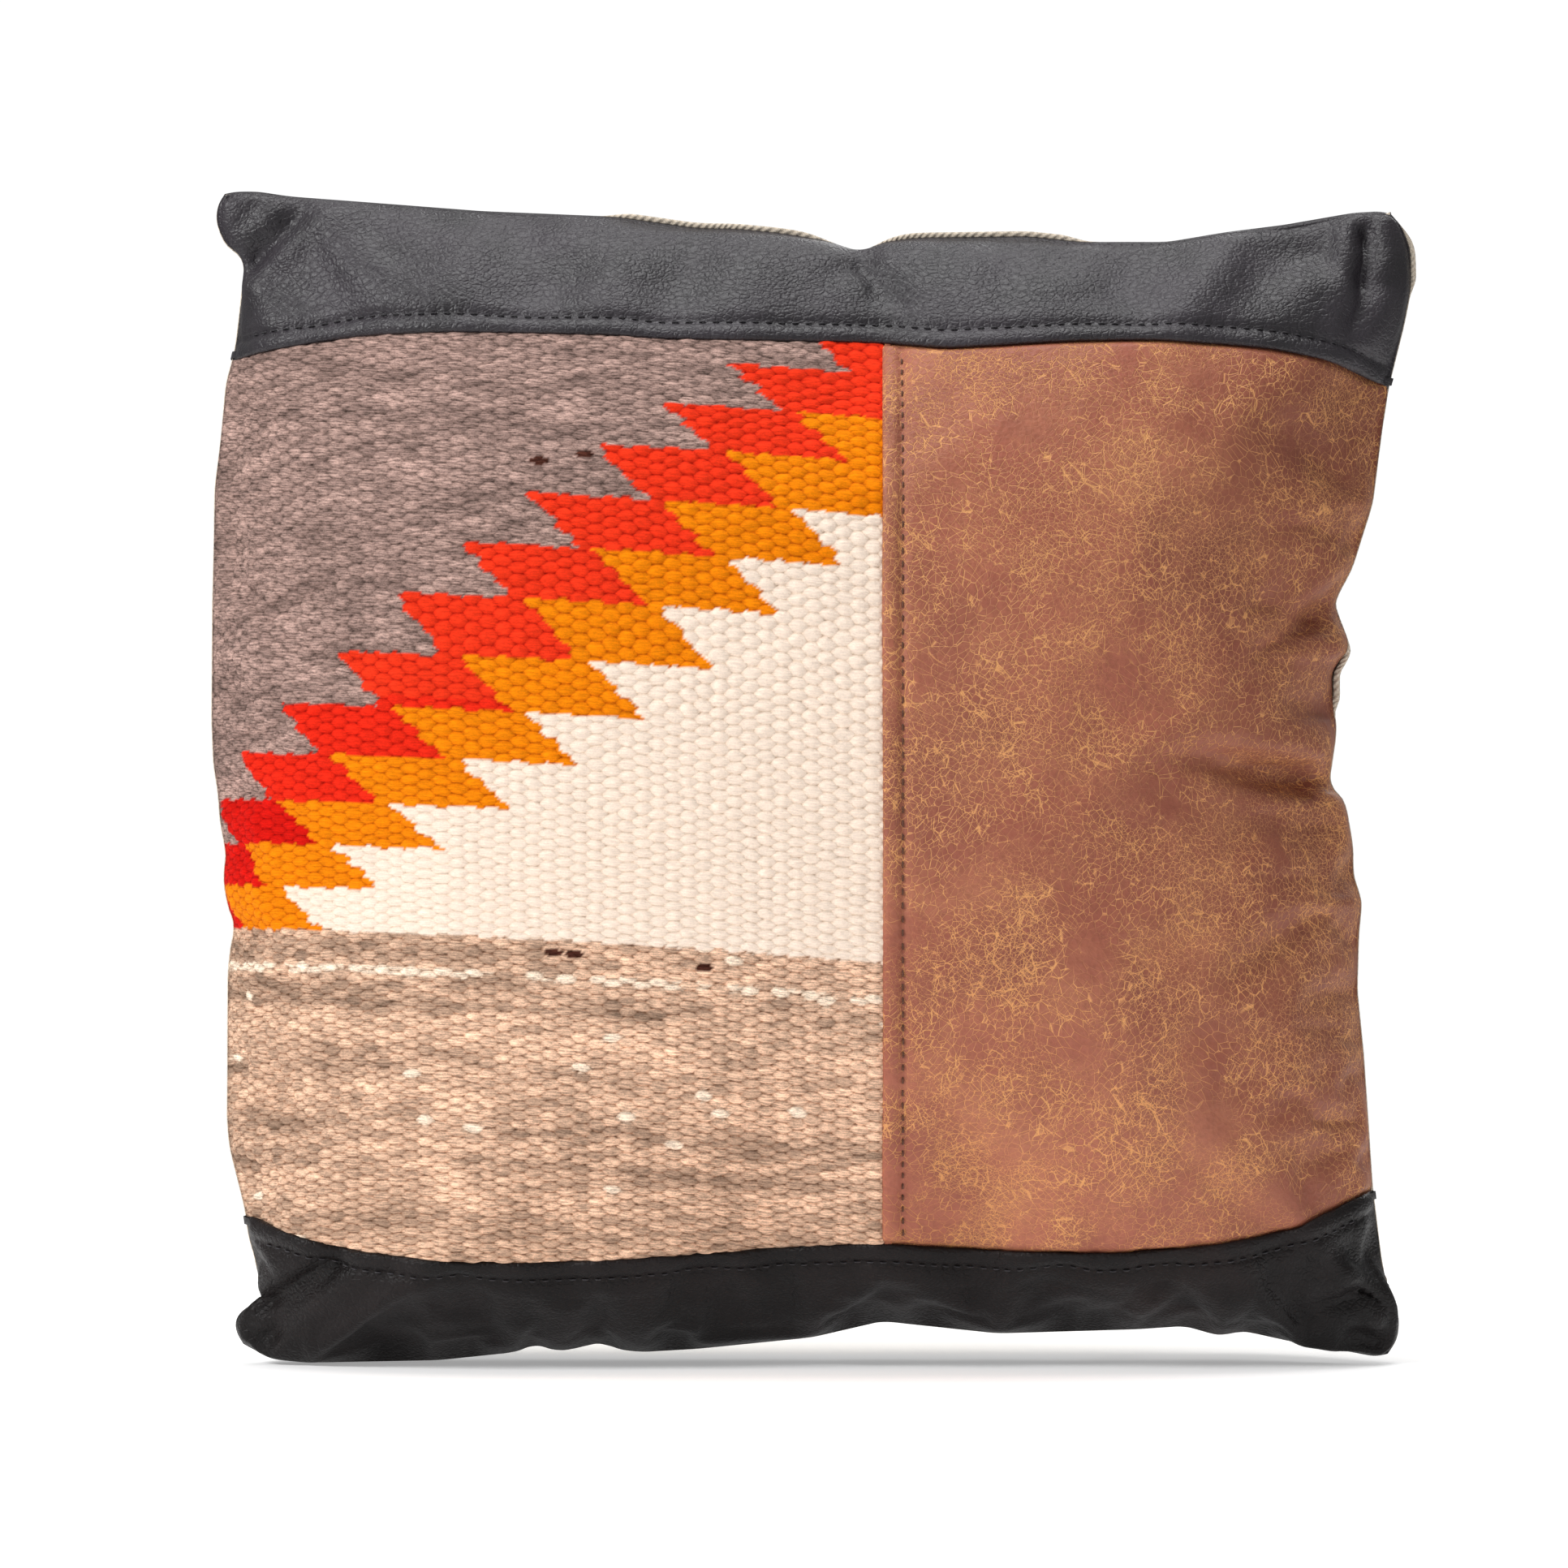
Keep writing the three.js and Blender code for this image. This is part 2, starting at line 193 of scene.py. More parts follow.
def joined_cover(front, back):
    """One closed mesh of both grids, sharing their rim, and the vertex numbers of each grid."""
    n = len(front)
    first = np.arange(n * n).reshape(n, n)
    second = first.copy()
    second[1:-1, 1:-1] = n * n + np.arange((n - 2) ** 2).reshape(n - 2, n - 2)
    points = np.concatenate([front.reshape(-1, 3), back[1:-1, 1:-1].reshape(-1, 3)])
    return points, np.concatenate([quads_of(first), quads_of(second)[:, ::-1]]), first, second


PRESSED_FRAMES = 20
SEAM_REACH = 0.22  # how far in from the seam the cloth's evening out is held back, in u or v


def stuffed(front, back, cap=15.0):
    """The two grids after the cover is blown up from inside while its outer seam is held."""
    points, faces, first, second = joined_cover(front, back)
    cover = shown_mesh("cover_under_pressure", points, faces.tolist())
    v, u = np.meshgrid(STEPS, STEPS, indexing="ij")
    rim = 1 - np.maximum(np.abs(u), np.abs(v))
    held, even = cover.vertex_groups.new(name="held"), cover.vertex_groups.new(name="even")
    for grid in (first, second):
        for i, r, z in zip(grid.ravel(), rim.ravel(), points[grid.ravel(), 2]):
            held.add([int(i)], 1.0 if r < 1e-6 else 0.0, "REPLACE")
            even.add([int(i)], float(np.clip(r / SEAM_REACH, 0, 1)), "REPLACE")
    cloth = cover.modifiers.new("pressure", "CLOTH")
    s = cloth.settings
    s.quality, s.mass, s.air_damping = 6, 0.4, 2.0
    s.tension_stiffness = s.compression_stiffness = 25
    s.shear_stiffness, s.bending_stiffness = 8, 1.2
    s.use_pressure, s.uniform_pressure_force = True, 4.0
    s.vertex_group_mass, s.vertex_group_shrink = "held", "even"
    s.shrink_min, s.shrink_max = -0.075, -0.01
    s.effector_weights.gravity = 0
    cloth.collision_settings.use_collision = False
    cloth.point_cache.frame_start, cloth.point_cache.frame_end = 1, PRESSED_FRAMES
    for f in range(1, PRESSED_FRAMES + 1):
        bpy.context.scene.frame_set(f)
    shown = cover.evaluated_get(bpy.context.evaluated_depsgraph_get()).to_mesh()
    moved = np.zeros(len(points) * 3, np.float32)
    shown.vertices.foreach_get("co", moved)
    moved = moved.reshape(-1, 3).astype(float) / MM
    bpy.context.scene.frame_set(1)
    mesh = cover.data
    bpy.data.objects.remove(cover)
    bpy.data.meshes.remove(mesh)
    step = moved - points
    far = np.linalg.norm(step, axis=1, keepdims=True)
    burst = 200
    points = points + step * np.minimum(1, cap / np.maximum(far, 1e-9)) * (far < burst)
    return points[first], points[second]


def relaxed(grid, times=1):
    """The grid with each inner point drawn towards its neighbours."""
    for _ in range(times):
        mean = (grid[:-2, 1:-1] + grid[2:, 1:-1] + grid[1:-1, :-2] + grid[1:-1, 2:]) / 4
        grid = grid.copy()
        grid[1:-1, 1:-1] = 0.5 * grid[1:-1, 1:-1] + 0.5 * mean
    return grid


class Skin:
    """A stuffed face of the cover, read at any (u, v) with a smooth curve through its grid."""

    def __init__(self, grid, out):
        self.grid, self.out = grid, out

    def spot(self, u, v):
        u, v = np.broadcast_arrays(u, v)
        i = np.interp(v, STEPS, np.arange(CELLS + 1))
        j = np.interp(u, STEPS, np.arange(CELLS + 1))
        i0, j0 = np.clip(i.astype(int), 0, CELLS - 1), np.clip(j.astype(int), 0, CELLS - 1)
        wi, wj = weights(i - i0), weights(j - j0)
        total = 0
        for a in range(4):
            row = 0
            ia = i0 + a - 1
            for b in range(4):
                row = row + self.read(ia, j0 + b - 1) * wj[b][..., None]
            total = total + row * wi[a][..., None]
        return total

    def read(self, i, j):
        """A grid point, or past the rim its mirrored neighbour."""
        ci, cj = np.clip(i, 0, CELLS), np.clip(j, 0, CELLS)
        ri, rj = np.clip(2 * ci - i, 0, CELLS), np.clip(2 * cj - j, 0, CELLS)
        edge = self.grid[ci, cj]
        return np.where(((i != ci) | (j != cj))[..., None], 2 * edge - self.grid[ri, rj], edge)

    def place(self, u, v, lift=0.0, e=0.004):
        """Points at (u, v), raised by lift along the outward direction."""
        cu, cv = np.clip(u, -1 + e, 1 - e), np.clip(v, -1 + e, 1 - e)
        across = self.spot(cu + e, cv) - self.spot(cu - e, cv)
        up = self.spot(cu, cv + e) - self.spot(cu, cv - e)
        n = np.cross(across, up) * self.out
        n /= np.maximum(np.linalg.norm(n, axis=-1, keepdims=True), 1e-9)
        return self.spot(u, v) + n * np.asarray(lift)[..., None], n


def weights(t):
    """Weights of the four grid points round a place, for a smooth curve through them."""
    return (0.5 * (-t + 2 * t ** 2 - t ** 3), 0.5 * (2 - 5 * t ** 2 + 3 * t ** 3),
            0.5 * (t + 4 * t ** 2 - 3 * t ** 3), 0.5 * (-t ** 2 + t ** 3))


def fade(value, start, end):
    """1 up to start, 0 from end on, and a soft curve between."""
    t = np.clip((value - start) / (end - start), 0, 1)
    return 1 - t * t * (3 - 2 * t)


def seen(points):
    """(x, z) where the eye sees points against the pillow's middle plane."""
    k = -EYE[1] / (points[..., 1] - EYE[1])
    return np.stack([EYE[c] + (points[..., c] - EYE[c]) * k for c in (0, 2)], -1)


# Folds pressed into the front: (points along the fold, depth, half-width, how far its banks stand up).
FOLDS = [
    ([(206, 205), (180, 207), (146, 208)], 7.5, 11.0, 0.0),
    ([(204, 262), (184, 264), (160, 262)], 3.0, 12.0, 0.0),
    ([(212, 214), (190, 216), (168, 219), (140, 224)], 10.5, 5.0, 4.4),
    ([(212, 281), (192, 281), (180, 272), (160, 258)], 9.0, 4.4, 3.2),
    ([(212, 244), (194, 245), (172, 246)], 5.5, 4.4, 2.4),
    ([(212, 180), (196, 182), (180, 192)], 4.0, 5.5, 1.6),
    ([(212, 164), (200, 166), (184, 170)], 1.8, 5.0, 0.6),
    ([(18, 414), (20, 404), (26, 396), (38, 388)], 3.2, 4.0, 1.2),
    ([(18, 414), (12, 404), (2, 398)], 1.6, 4.5, 0.8),
    ([(204, 424), (205, 410), (203, 392), (197, 376)], 6.0, 3.8, 2.2),
    ([(218, 400), (208, 398), (196, 404), (176, 410)], 2.0, 4.0, 0.8),
    ([(-208, 406), (-200, 414), (-190, 424), (-184, 430)], 3.4, 3.6, 1.4),
    ([(-202, 24), (-194, 27), (-184, 34), (-170, 38)], 6.0, 4.0, 2.2),
    ([(-206, 10), (-192, 14), (-170, 16), (-140, 14)], 2.2, 5.0, 0.8),
    ([(214, 24), (204, 26), (194, 22), (172, 17)], 6.0, 4.0, 2.2),
    ([(210, 6), (200, 12), (190, 12)], 2.4, 3.6, 1.0),
    ([(-102, 6), (-100, 14), (-96, 22)], 1.8, 4.5, 0.6),
    ([(-78, 6), (-78, 16), (-82, 26)], 2.0, 4.5, 0.8),
    ([(26, 14), (27, 22), (30, 32)], 2.6, 5.0, 1.0),
    ([(150, 10), (146, 18), (140, 28)], 1.6, 5.0, 0.6),
]


def pressed(grid):
    """The front grid with its folds, each a valley between two low banks."""
    place = seen(grid)
    skin = Skin(grid, 1)
    v, u = np.meshgrid(STEPS, STEPS, indexing="ij")
    normal = skin.place(u, v)[1]
    lift = np.zeros(place.shape[:2])
    for path, deep, half, bank in FOLDS:
        p = np.array(path, float)
        best, along = np.full(lift.shape, 1e9), np.zeros(lift.shape)
        for k, (a, b) in enumerate(zip(p[:-1], p[1:])):
            d = b - a
            t = np.clip(((place - a) @ d) / (d @ d), 0, 1)
            far = np.linalg.norm(place - a - t[..., None] * d, axis=-1)
            along = np.where(far < best, (k + t) / (len(p) - 1), along)
            best = np.minimum(best, far)
        strength = 1 - along ** 2 * 0.9
        lift += strength * (bank * np.exp(-((best - 2.1 * half) / half) ** 2)
                            - deep * np.exp(-(best / half) ** 2))
    rim = np.minimum(1 - np.abs(u), 1 - np.abs(v)) * 215
    lift = lift * np.clip(-normal[..., 1], 0, 1) * (1 - fade(rim, 1.0, 9.0))
    return grid + normal * lift[..., None]


def flat_for_zip(grid):
    """The back grid, drawn flat along the zipper."""
    x, y, z = grid[..., 0], grid[..., 1], grid[..., 2]
    up = (z - ZIP_Z) / math.cos(ZIP_TILT)
    share = fade(np.abs(x), 156, 204) * fade(np.abs(up), 17, 36)
    grid = grid.copy()
    grid[..., 1] = y + (ZIP_Y + (z - ZIP_Z) * math.tan(ZIP_TILT) - y) * share
    return grid


def peeping(grid):
    """The back grid, standing a little proud of the front along the top and the right."""
    grid = grid.copy()
    v, u = np.meshgrid(STEPS, STEPS, indexing="ij")
    x, z = grid[..., 0], grid[..., 2]
    over = 1.9 * fade(np.abs(x + 35), 30, 44) + 1.9 * fade(np.abs(x - 63), 28, 42)
    beside = 2.6 * fade(np.abs(z - 253), 6, 14) + 1.6 * fade(np.abs(z - 408), 6, 14)
    grid[..., 2] = z + over * (1 - fade(v, 0.90, 0.99))
    grid[..., 0] = x + beside * (1 - fade(u, 0.90, 0.99))
    return grid


def on_floor(grid):
    """The grid, kept just above the floor."""
    grid = grid.copy()
    grid[..., 2] = np.maximum(grid[..., 2], 0.4)
    return grid


front_grid, back_grid = starting_shape()
front_grid, back_grid = stuffed(front_grid, back_grid)
# The top of the front keeps the wrinkles of its stuffing less than the rest.
calm = fade(1 - (STEPS[:, None, None] + 1) / 2, 0.12, 0.30)
front_grid = relaxed(front_grid) * (1 - calm) + relaxed(front_grid, 9) * calm
back_grid = relaxed(back_grid, 2)
front_grid = on_floor(pressed(front_grid))
back_grid = on_floor(flat_for_zip(peeping(back_grid)))
FRONT, BACK = Skin(front_grid, 1), Skin(back_grid, -1)


# ---------------------------------------------------------------- seam lines in (u, v)

PROBE = np.linspace(-1, 1, 201)


def seam_row(points):
    """v of a band's turned edge at each u."""
    line = evened(points, 4.0)
    rows = np.linspace(-1, 1, 1201)
    v, u = np.meshgrid(rows, PROBE, indexing="ij")
    place = seen(FRONT.spot(u, v))
    over = place[..., 1] - np.interp(place[..., 0], line[:, 0], line[:, 1])
    found = [rows[np.argmax(column > 0)] if (column > 0).any() else 1 for column in over.T]
    wide = np.convolve(np.pad(found, 3, "edge"), np.array([1, 3, 6, 8, 6, 3, 1]) / 28, "valid")
    return lambda u: np.interp(u, PROBE, wide)


def seam_column(x):
    """u of an upright seam at each v."""
    cols = np.linspace(-0.4, 0.6, 801)
    rows = np.linspace(-1, 1, 81)
    v, u = np.meshgrid(rows, cols, indexing="ij")
    over = seen(FRONT.spot(u, v))[..., 0] - x
    found = cols[np.argmax(over > 0, axis=1)]
    soft = np.polynomial.chebyshev.chebfit(rows, found, 8)
    return lambda v: np.polynomial.chebyshev.chebval(v, soft)


top_seam, low_seam, centre_seam = seam_row(TOP_SEAM), seam_row(LOW_SEAM), seam_column(CENTRE_SEAM)
HIGH = 216.0  # millimetres to one unit of v
WIDE = 207.0  # millimetres to one unit of u


# ---------------------------------------------------------------- meshes from grids

def grid_piece(name, points, cloth=None, thick=0.0, flip=False):
    """A sheet from a grid of points in millimetres, smooth, with its cloth lengths as its UV map."""
    rows, cols = points.shape[:2]
    quads = quads_of(np.arange(rows * cols).reshape(rows, cols))
    if flip:
        quads = quads[:, ::-1]
    piece = shown_mesh(name, points.reshape(-1, 3), quads.tolist())
    piece.data.polygons.foreach_set("use_smooth", np.ones(len(quads), bool))
    if cloth is not None:
        uv = piece.data.uv_layers.new(name="cloth")
        flat = (cloth.reshape(-1, 2) * MM)[quads.ravel()]
        uv.data.foreach_set("uv", flat.astype(np.float32).ravel())
    if thick:
        wall = piece.modifiers.new("thickness", "SOLIDIFY")
        wall.thickness, wall.offset = thick * MM, -1
    return piece


# A turned leather edge in section: (distance in from the edge, height over the cloth beneath).
TURNED_EDGE = [
    (3.2, -0.9), (1.5, -0.9), (0.6, -0.5), (0.15, 0.1), (0.0, 0.7), (0.2, 1.3), (0.7, 1.8), (1.5, 2.15),
    (2.6, 2.3), (3.8, 2.2), (4.9, 1.9), (5.8, 1.35), (6.5, 0.85), (7.1, 0.65), (7.7, 0.8), (8.5, 1.2),
    (9.6, 1.6), (11.2, 1.8), (13.5, 1.75)]
STITCH_IN = 7.1
LEATHER_LIFT = 1.3


def along_line(line):
    """Length run along a line of points, at each point."""
    return np.r_[0, np.cumsum(np.linalg.norm(np.diff(line, axis=0), axis=1))]


def puckered(depth, run):
    """How far leather rises between stitches, at a distance from the edge and a length along it."""
    near = np.exp(-((depth - STITCH_IN) / 2.6) ** 2)
    return near * 0.14 * -np.cos(run / STITCH_PITCH * 2 * math.pi)


STITCH_RINGS, STITCH_SIDES = 6, 6


def tube_faces(base, rings, sides):
    """Faces of a closed tube whose points are numbered ring after ring from base."""
    faces = []
    for k in range(rings - 1):
        for a in range(sides):
            b = (a + 1) % sides
            low, high = base + k * sides, base + (k + 1) * sides
            faces.append([low + a, low + b, high + b, high + a])
    return faces


def stitches(name, skin, places, lift=1.0, radius=0.32, share=0.62):
    """A row of separate stitches along (u, v) places that lie one after another on a face."""
    line, normal = skin.place(places[:, 0], places[:, 1], lift)
    run = along_line(line)
    points, faces = [], []
    section = np.linspace(0, 2 * math.pi, STITCH_SIDES + 1)[:-1]
    for start in np.arange(STITCH_PITCH * 0.17, run[-1] - STITCH_PITCH, STITCH_PITCH):
        at = start + np.linspace(0, share * STITCH_PITCH, STITCH_RINGS)
        mid = np.stack([np.interp(at, run, line[:, k]) for k in range(3)], 1)
        out = np.stack([np.interp(at, run, normal[:, k]) for k in range(3)], 1)
        way = np.gradient(mid, axis=0)
        way /= np.linalg.norm(way, axis=1, keepdims=True)
        side = np.cross(way, out)
        t = np.linspace(-1, 1, STITCH_RINGS)
        mid = mid + out * (0.1 - 0.75 * t[:, None] ** 4)
        size = radius * np.sqrt(np.clip(1.04 - t ** 8, 0.04, 1))
        base = len(points)
        for k in range(STITCH_RINGS):
            for a in section:
                points.append(mid[k] + size[k] * (math.cos(a) * side[k] + math.sin(a) * out[k]))
        faces += tube_faces(base, STITCH_RINGS, STITCH_SIDES)
        faces.append([base + a for a in range(STITCH_SIDES - 1, -1, -1)])
        faces.append([base + (STITCH_RINGS - 1) * STITCH_SIDES + a for a in range(STITCH_SIDES)])
    return mesh_piece(name, points, faces)


def mesh_piece(name, points, faces):
    """A smooth closed piece, its faces turned outwards."""
    piece = shown_mesh(name, points, faces)
    piece.data.polygons.foreach_set("use_smooth", np.ones(len(faces), bool))
    bm = bmesh.new()
    bm.from_mesh(piece.data)
    bmesh.ops.recalc_face_normals(bm, faces=bm.faces)
    bm.to_mesh(piece.data)
    bm.free()
    return piece


def lengths(points):
    """Cloth lengths along the rows and up the columns of a grid, in millimetres."""
    x = np.cumsum(np.pad(np.linalg.norm(np.diff(points, axis=1), axis=-1), ((0, 0), (1, 0))), 1)
    y = np.cumsum(np.pad(np.linalg.norm(np.diff(points, axis=0), axis=-1), ((1, 0), (0, 0))), 0)
    return np.stack([x, y], -1)


# ---------------------------------------------------------------- leather panels

def columns(count):
    """u from edge to edge, closer together near both ends."""
    return crowded(np.linspace(-1, 1, count), 0.35)


def rim_fade(u):
    """1 over the face, falling to 0 at the side seams, so that edges thin out into the seam."""
    return fade(np.abs(u), 0.985, 1.0)


def rim_in(points, where, y_side, turn=2.4):
    """Adds two lines of points turned in at an outer seam: the first or last row or column (col)."""
    axis = 0 if "row" in where else 1
    p = np.moveaxis(points, axis, 0)
    edge = p[0] if "first" in where else p[-1]
    way = np.array([0, 0, 1.0]) if axis == 0 else np.array([1.0, 0, 0])
    way = way * (1 if "first" in where else -1)
    inner = edge + way * turn
    inner[..., 1] = y_side * 0.25
    line = edge + way * turn * 0.3
    line[..., 1] = edge[..., 1] * 0.6 + y_side * 0.1
    extra = [inner, line] if "first" in where else [line, inner]
    extra = np.stack(extra)
    p = np.concatenate([extra, p]) if "first" in where else np.concatenate([p, extra])
    return np.moveaxis(p, 0, axis)


def top_band():
    """The black band from its turned edge up to the top seam."""
    u = columns(420)
    seam = top_seam(u)
    run = along_line(FRONT.spot(u, seam))
    rows = [FRONT.place(u, seam + deep / HIGH, (high + puckered(deep, run)) * rim_fade(u))[0]
            for deep, high in TURNED_EDGE]
    start = TURNED_EDGE[-1][0] / HIGH
    for t in np.linspace(0, 1, 40)[1:] ** 0.8:
        v = seam + start + (1 - seam - start) * t
        lift = (LEATHER_LIFT + 0.45 * (1 - t) ** 2) * fade(t, 0.9, 1.0) * rim_fade(u)
        rows.append(FRONT.place(u, v, lift)[0])
    points = np.stack(rows)
    points = rim_in(rim_in(points, "first_col", -1), "last_col", -1)
    points = rim_in(points, "last_row", -1)
    return grid_piece("top_black_leather_front", points, lengths(points), 1.1)


def slit_edges(u):
    """v of the two edges of the zipper's slit on the back."""
    x = BACK.spot(u, np.full_like(u, -0.85))[..., 0]
    half = (0.3 + (SLIT_HALF - 0.3) * fade(np.abs(x), SLIT_END - 5, SLIT_END + 3)) * math.cos(ZIP_TILT)
    rows = np.linspace(-1, -0.4, 241)
    v, uu = np.meshgrid(rows, u, indexing="ij")
    z = BACK.spot(uu, v)[..., 2]
    low = np.array([np.interp(ZIP_Z - h, z[:, j], rows) for j, h in enumerate(half)])
    high = np.array([np.interp(ZIP_Z + h, z[:, j], rows) for j, h in enumerate(half)])
    return low, high


# A folded edge beside the zipper: (distance in from the edge, height), from inside to outside.
ZIP_FOLD = [(7.0, -1.5), (3.0, -1.5), (0.7, -1.3), (0.15, -0.8), (0.0, -0.3), (0.25, 0.15), (1.0, 0.3),
            (2.0, 0.15), (3.0, -0.15), (4.0, 0.1), (6.0, 0.3)]


def bottom_band():
    """The black band from its turned edge, under the pillow and up to the zipper's slit."""
    u = columns(420)
    seam = low_seam(u)
    slit, _ = slit_edges(u)
    run = along_line(FRONT.spot(u, seam))
    rows = [FRONT.place(u, seam - deep / HIGH, (high + puckered(deep, run)) * rim_fade(u))[0]
            for deep, high in TURNED_EDGE]
    start = TURNED_EDGE[-1][0] / HIGH
    for t in np.linspace(0, 1, 30)[1:]:
        t = 1 - (1 - t) ** 1.6
        v = np.maximum(seam - start, -0.995) * (1 - t) - t
        rows.append(FRONT.place(u, v, LEATHER_LIFT * fade(t, 0.6, 1.0) * rim_fade(u))[0])
    for t in np.linspace(0, 1, 26)[1:] ** 1.6:
        v = -1 + (slit + 1) * t * 0.93
        rows.append(BACK.place(u, v, np.full_like(u, 0.3 * t))[0])
    for deep, high in ZIP_FOLD[::-1]:
        rows.append(BACK.place(u, slit - deep / HIGH, np.full_like(u, high))[0])
    points = np.stack(rows)[::-1]
    return grid_piece("bottom_black_leather_wrap", points, lengths(points), 1.1)


def middle_rows(count, under=5.0):
    """t from 0 to 1 between the two band seams, reaching a little under each band."""
    reach = under / 340
    return np.linspace(-reach, 1 + reach, count)


def between_bands(line_low, line_high, t):
    """A value a share t of the way from the low seam's to the top seam's."""
    return line_low * (1 - t) + line_high * t


def brown_panel():
    """The right panel, lapped over the wool with a turned edge."""
    edge_deep, edge_high = np.array(TURNED_EDGE).T
    far = crowded(np.linspace(0, 1, 120)[1:], 0.4)
    thin, hidden, panel = 1.2, 3.0, 180  # height at the outer seam, tuck under a band, rough width
    lifts = np.r_[edge_high, edge_high[-1] - (edge_high[-1] - thin) * far]
    deep = np.r_[edge_deep, edge_deep[-1] + far * panel]
    rows = []
    for k in middle_rows(330):
        u_edge = centre_seam(between_bands(low_seam(SEAM_U), top_seam(SEAM_U), k))
        turned = u_edge + edge_deep / WIDE
        u = np.r_[turned, turned[-1] + (1 - turned[-1]) * far]
        v = between_bands(low_seam(u), top_seam(u), k)
        under = np.minimum(k, 1 - k) * BETWEEN_BANDS
        lift = lifts + puckered(deep, k * BETWEEN_BANDS)
        lift = lift * fade(under, hidden, -1.0) * fade(u, 0.985, 1.0)
        if under < hidden:
            lift = lift - 0.9 * fade(under, -1, hidden)
        rows.append(FRONT.place(u, v, lift)[0])
    points = rim_in(np.stack(rows), "last_col", -1)
    return grid_piece("brown_leather_front", points, lengths(points), 1.2)


def back_panel():
    """The cream cloth from the zipper's slit up to the top seam."""
    u = columns(230)
    _, slit = slit_edges(u)
    rows = [BACK.place(u, slit + deep / HIGH, np.full_like(u, high))[0] for deep, high in ZIP_FOLD]
    start = ZIP_FOLD[-1][0] / HIGH
    for t in np.linspace(0, 1, 200)[1:]:
        t = crowded(t, 0.5)
        v = slit + start + (1 - slit - start) * t
        rows.append(BACK.place(u, v, np.full_like(u, 0.3) * fade(t, 0.95, 1.0))[0])
    points = np.stack(rows)
    points = rim_in(rim_in(points, "first_col", 1), "last_col", 1)
    points = rim_in(points, "last_row", 1)
    return grid_piece("cream_back", points, lengths(points), 1.0, flip=True)


# ---------------------------------------------------------------- the woven panel

# Heights of the steps' level lines at the left edge, from the top step down.
STEP_LINES = [414.0, 396.0, 377.8, 361.7, 345.2, 325.8, 306.3, 286.7, 264.5, 244.5, 226.0, 208.5,
              192.5, 177.0, 161.0]
# How far each step stands back from the one above it, how far its edge slants, and the place of one tip.
STEP_HIGH, STEP_BACK, STEP_SLANT, FIRST_TIP = 19.0, 24.8, 20.0, -31.2
BAND_OF_COLOUR = 49.2
GREY = (0.345, 0.228, 0.195)
RED, LOW_RED, DEEP_RED = (0.86, 0.038, 0.010), (0.80, 0.022, 0.007), (0.66, 0.008, 0.004)
GOLD, CREAM, TAN = (0.88, 0.235, 0.002), (0.95, 0.785, 0.655), (0.76, 0.495, 0.345)
DARK_FLECK, PALE_PICK = (0.07, 0.022, 0.014), (0.90, 0.72, 0.56)
# Painted shade: the darker colours that the crevices between the beads take, one for each yarn.
CREVICE_SHADE_GREY, CREVICE_SHADE_RED, CREVICE_SHADE_GOLD = (0.38, 0.36, 0.35), (0.56, 0.26, 0.30), (0.62, 0.42, 0.45)
CREVICE_SHADE_CREAM, CREVICE_SHADE_TAN = (0.90, 0.84, 0.77), (0.42, 0.29, 0.22)
# Pitch between columns, and a bead's half-width and half-height in columns and rows.
WARP, BEAD_WIDE, BEAD_HIGH = 5.7, 0.70, 1.06
NO_BEAD = -9.0
# Darker streaks across the tan field: (height, half-width, depth). Loose dark flecks: (x, z).
TAN_STREAKS = [(-7, 5, 0.20), (-21, 4, 0.22), (-27, 2, 0.22), (-50, 5, 0.16), (-74, 6, 0.20),
               (-88, 4, 0.22), (-112, 6, 0.12)]
FLECKS = [(-87.9, 151.5), (-95.5, 151.9), (-39.9, 146.4), (-100.8, 333.6), (-84.0, 336.0)]


def noise(shape, cells, seed):
    """Smooth random values from -1 to 1 over a grid, with about so many cells each way."""
    r = np.random.default_rng(seed)
    knots = r.uniform(-1, 1, (cells[0] + 3, cells[1] + 3))
    i, j = np.linspace(0, cells[0], shape[0]), np.linspace(0, cells[1], shape[1])
    i0, j0 = np.minimum(i.astype(int), cells[0] - 1), np.minimum(j.astype(int), cells[1] - 1)
    wi, wj = weights(i - i0), weights(j - j0)
    lines = sum(wi[a][:, None] * knots[i0 + a] for a in range(4))
    return sum(wj[b][None, :] * lines[:, j0 + b] for b in range(4))


def scatter(a, b, seed):
    """A fixed random number from 0 to 1 for each pair of whole numbers."""
    x = np.sin(a * 127.1 + b * 311.7 + seed * 74.7) * 43758.5453
    return x - np.floor(x)


def level(place):
    """How far each level line has dropped at a place, because the wool is pulled down to the right."""
    x = np.maximum(place[..., 0] + 216, 0)
    return place[..., 1] + 0.02 * x + 0.00014 * x * x


def rise_of(height):
    """Cloth length up from the lowest level line of the steps."""
    known = np.r_[STEP_LINES[::-1]]
    up = np.arange(len(known)) * STEP_HIGH
    low = (height - known[0]) * 1.04 - 0.0016 * np.clip(90 - height, 0, None) ** 2
    return np.where(height < known[0], low, np.interp(height, known, up))


def yarn_colour(across, up):
    """The yarn's colour at cloth lengths across (from the centre seam, leftwards negative) and up."""
    step = np.floor(up / STEP_HIGH)
    inside = 1 - (up / STEP_HIGH - step)
    n = len(STEP_LINES) - 4 - step  # 0 for the step with the first tip, and more for those below it
    edge = FIRST_TIP - STEP_BACK * n + STEP_SLANT * inside
    colour = np.empty(across.shape + (3,))
    colour[:] = GREY
    red = across > edge
    gold = (across > edge + BAND_OF_COLOUR) & (n >= 1)
    cream = (across > edge + 2 * BAND_OF_COLOUR) & (n >= 3)
    colour[red] = RED
    colour[red & (up < 5.2 * STEP_HIGH)] = LOW_RED
    colour[gold] = GOLD
    colour[cream] = CREAM
    colour[red & ~gold & (up < 3.0 * STEP_HIGH)] = DEEP_RED
    colour[up < 0] = TAN
    return colour


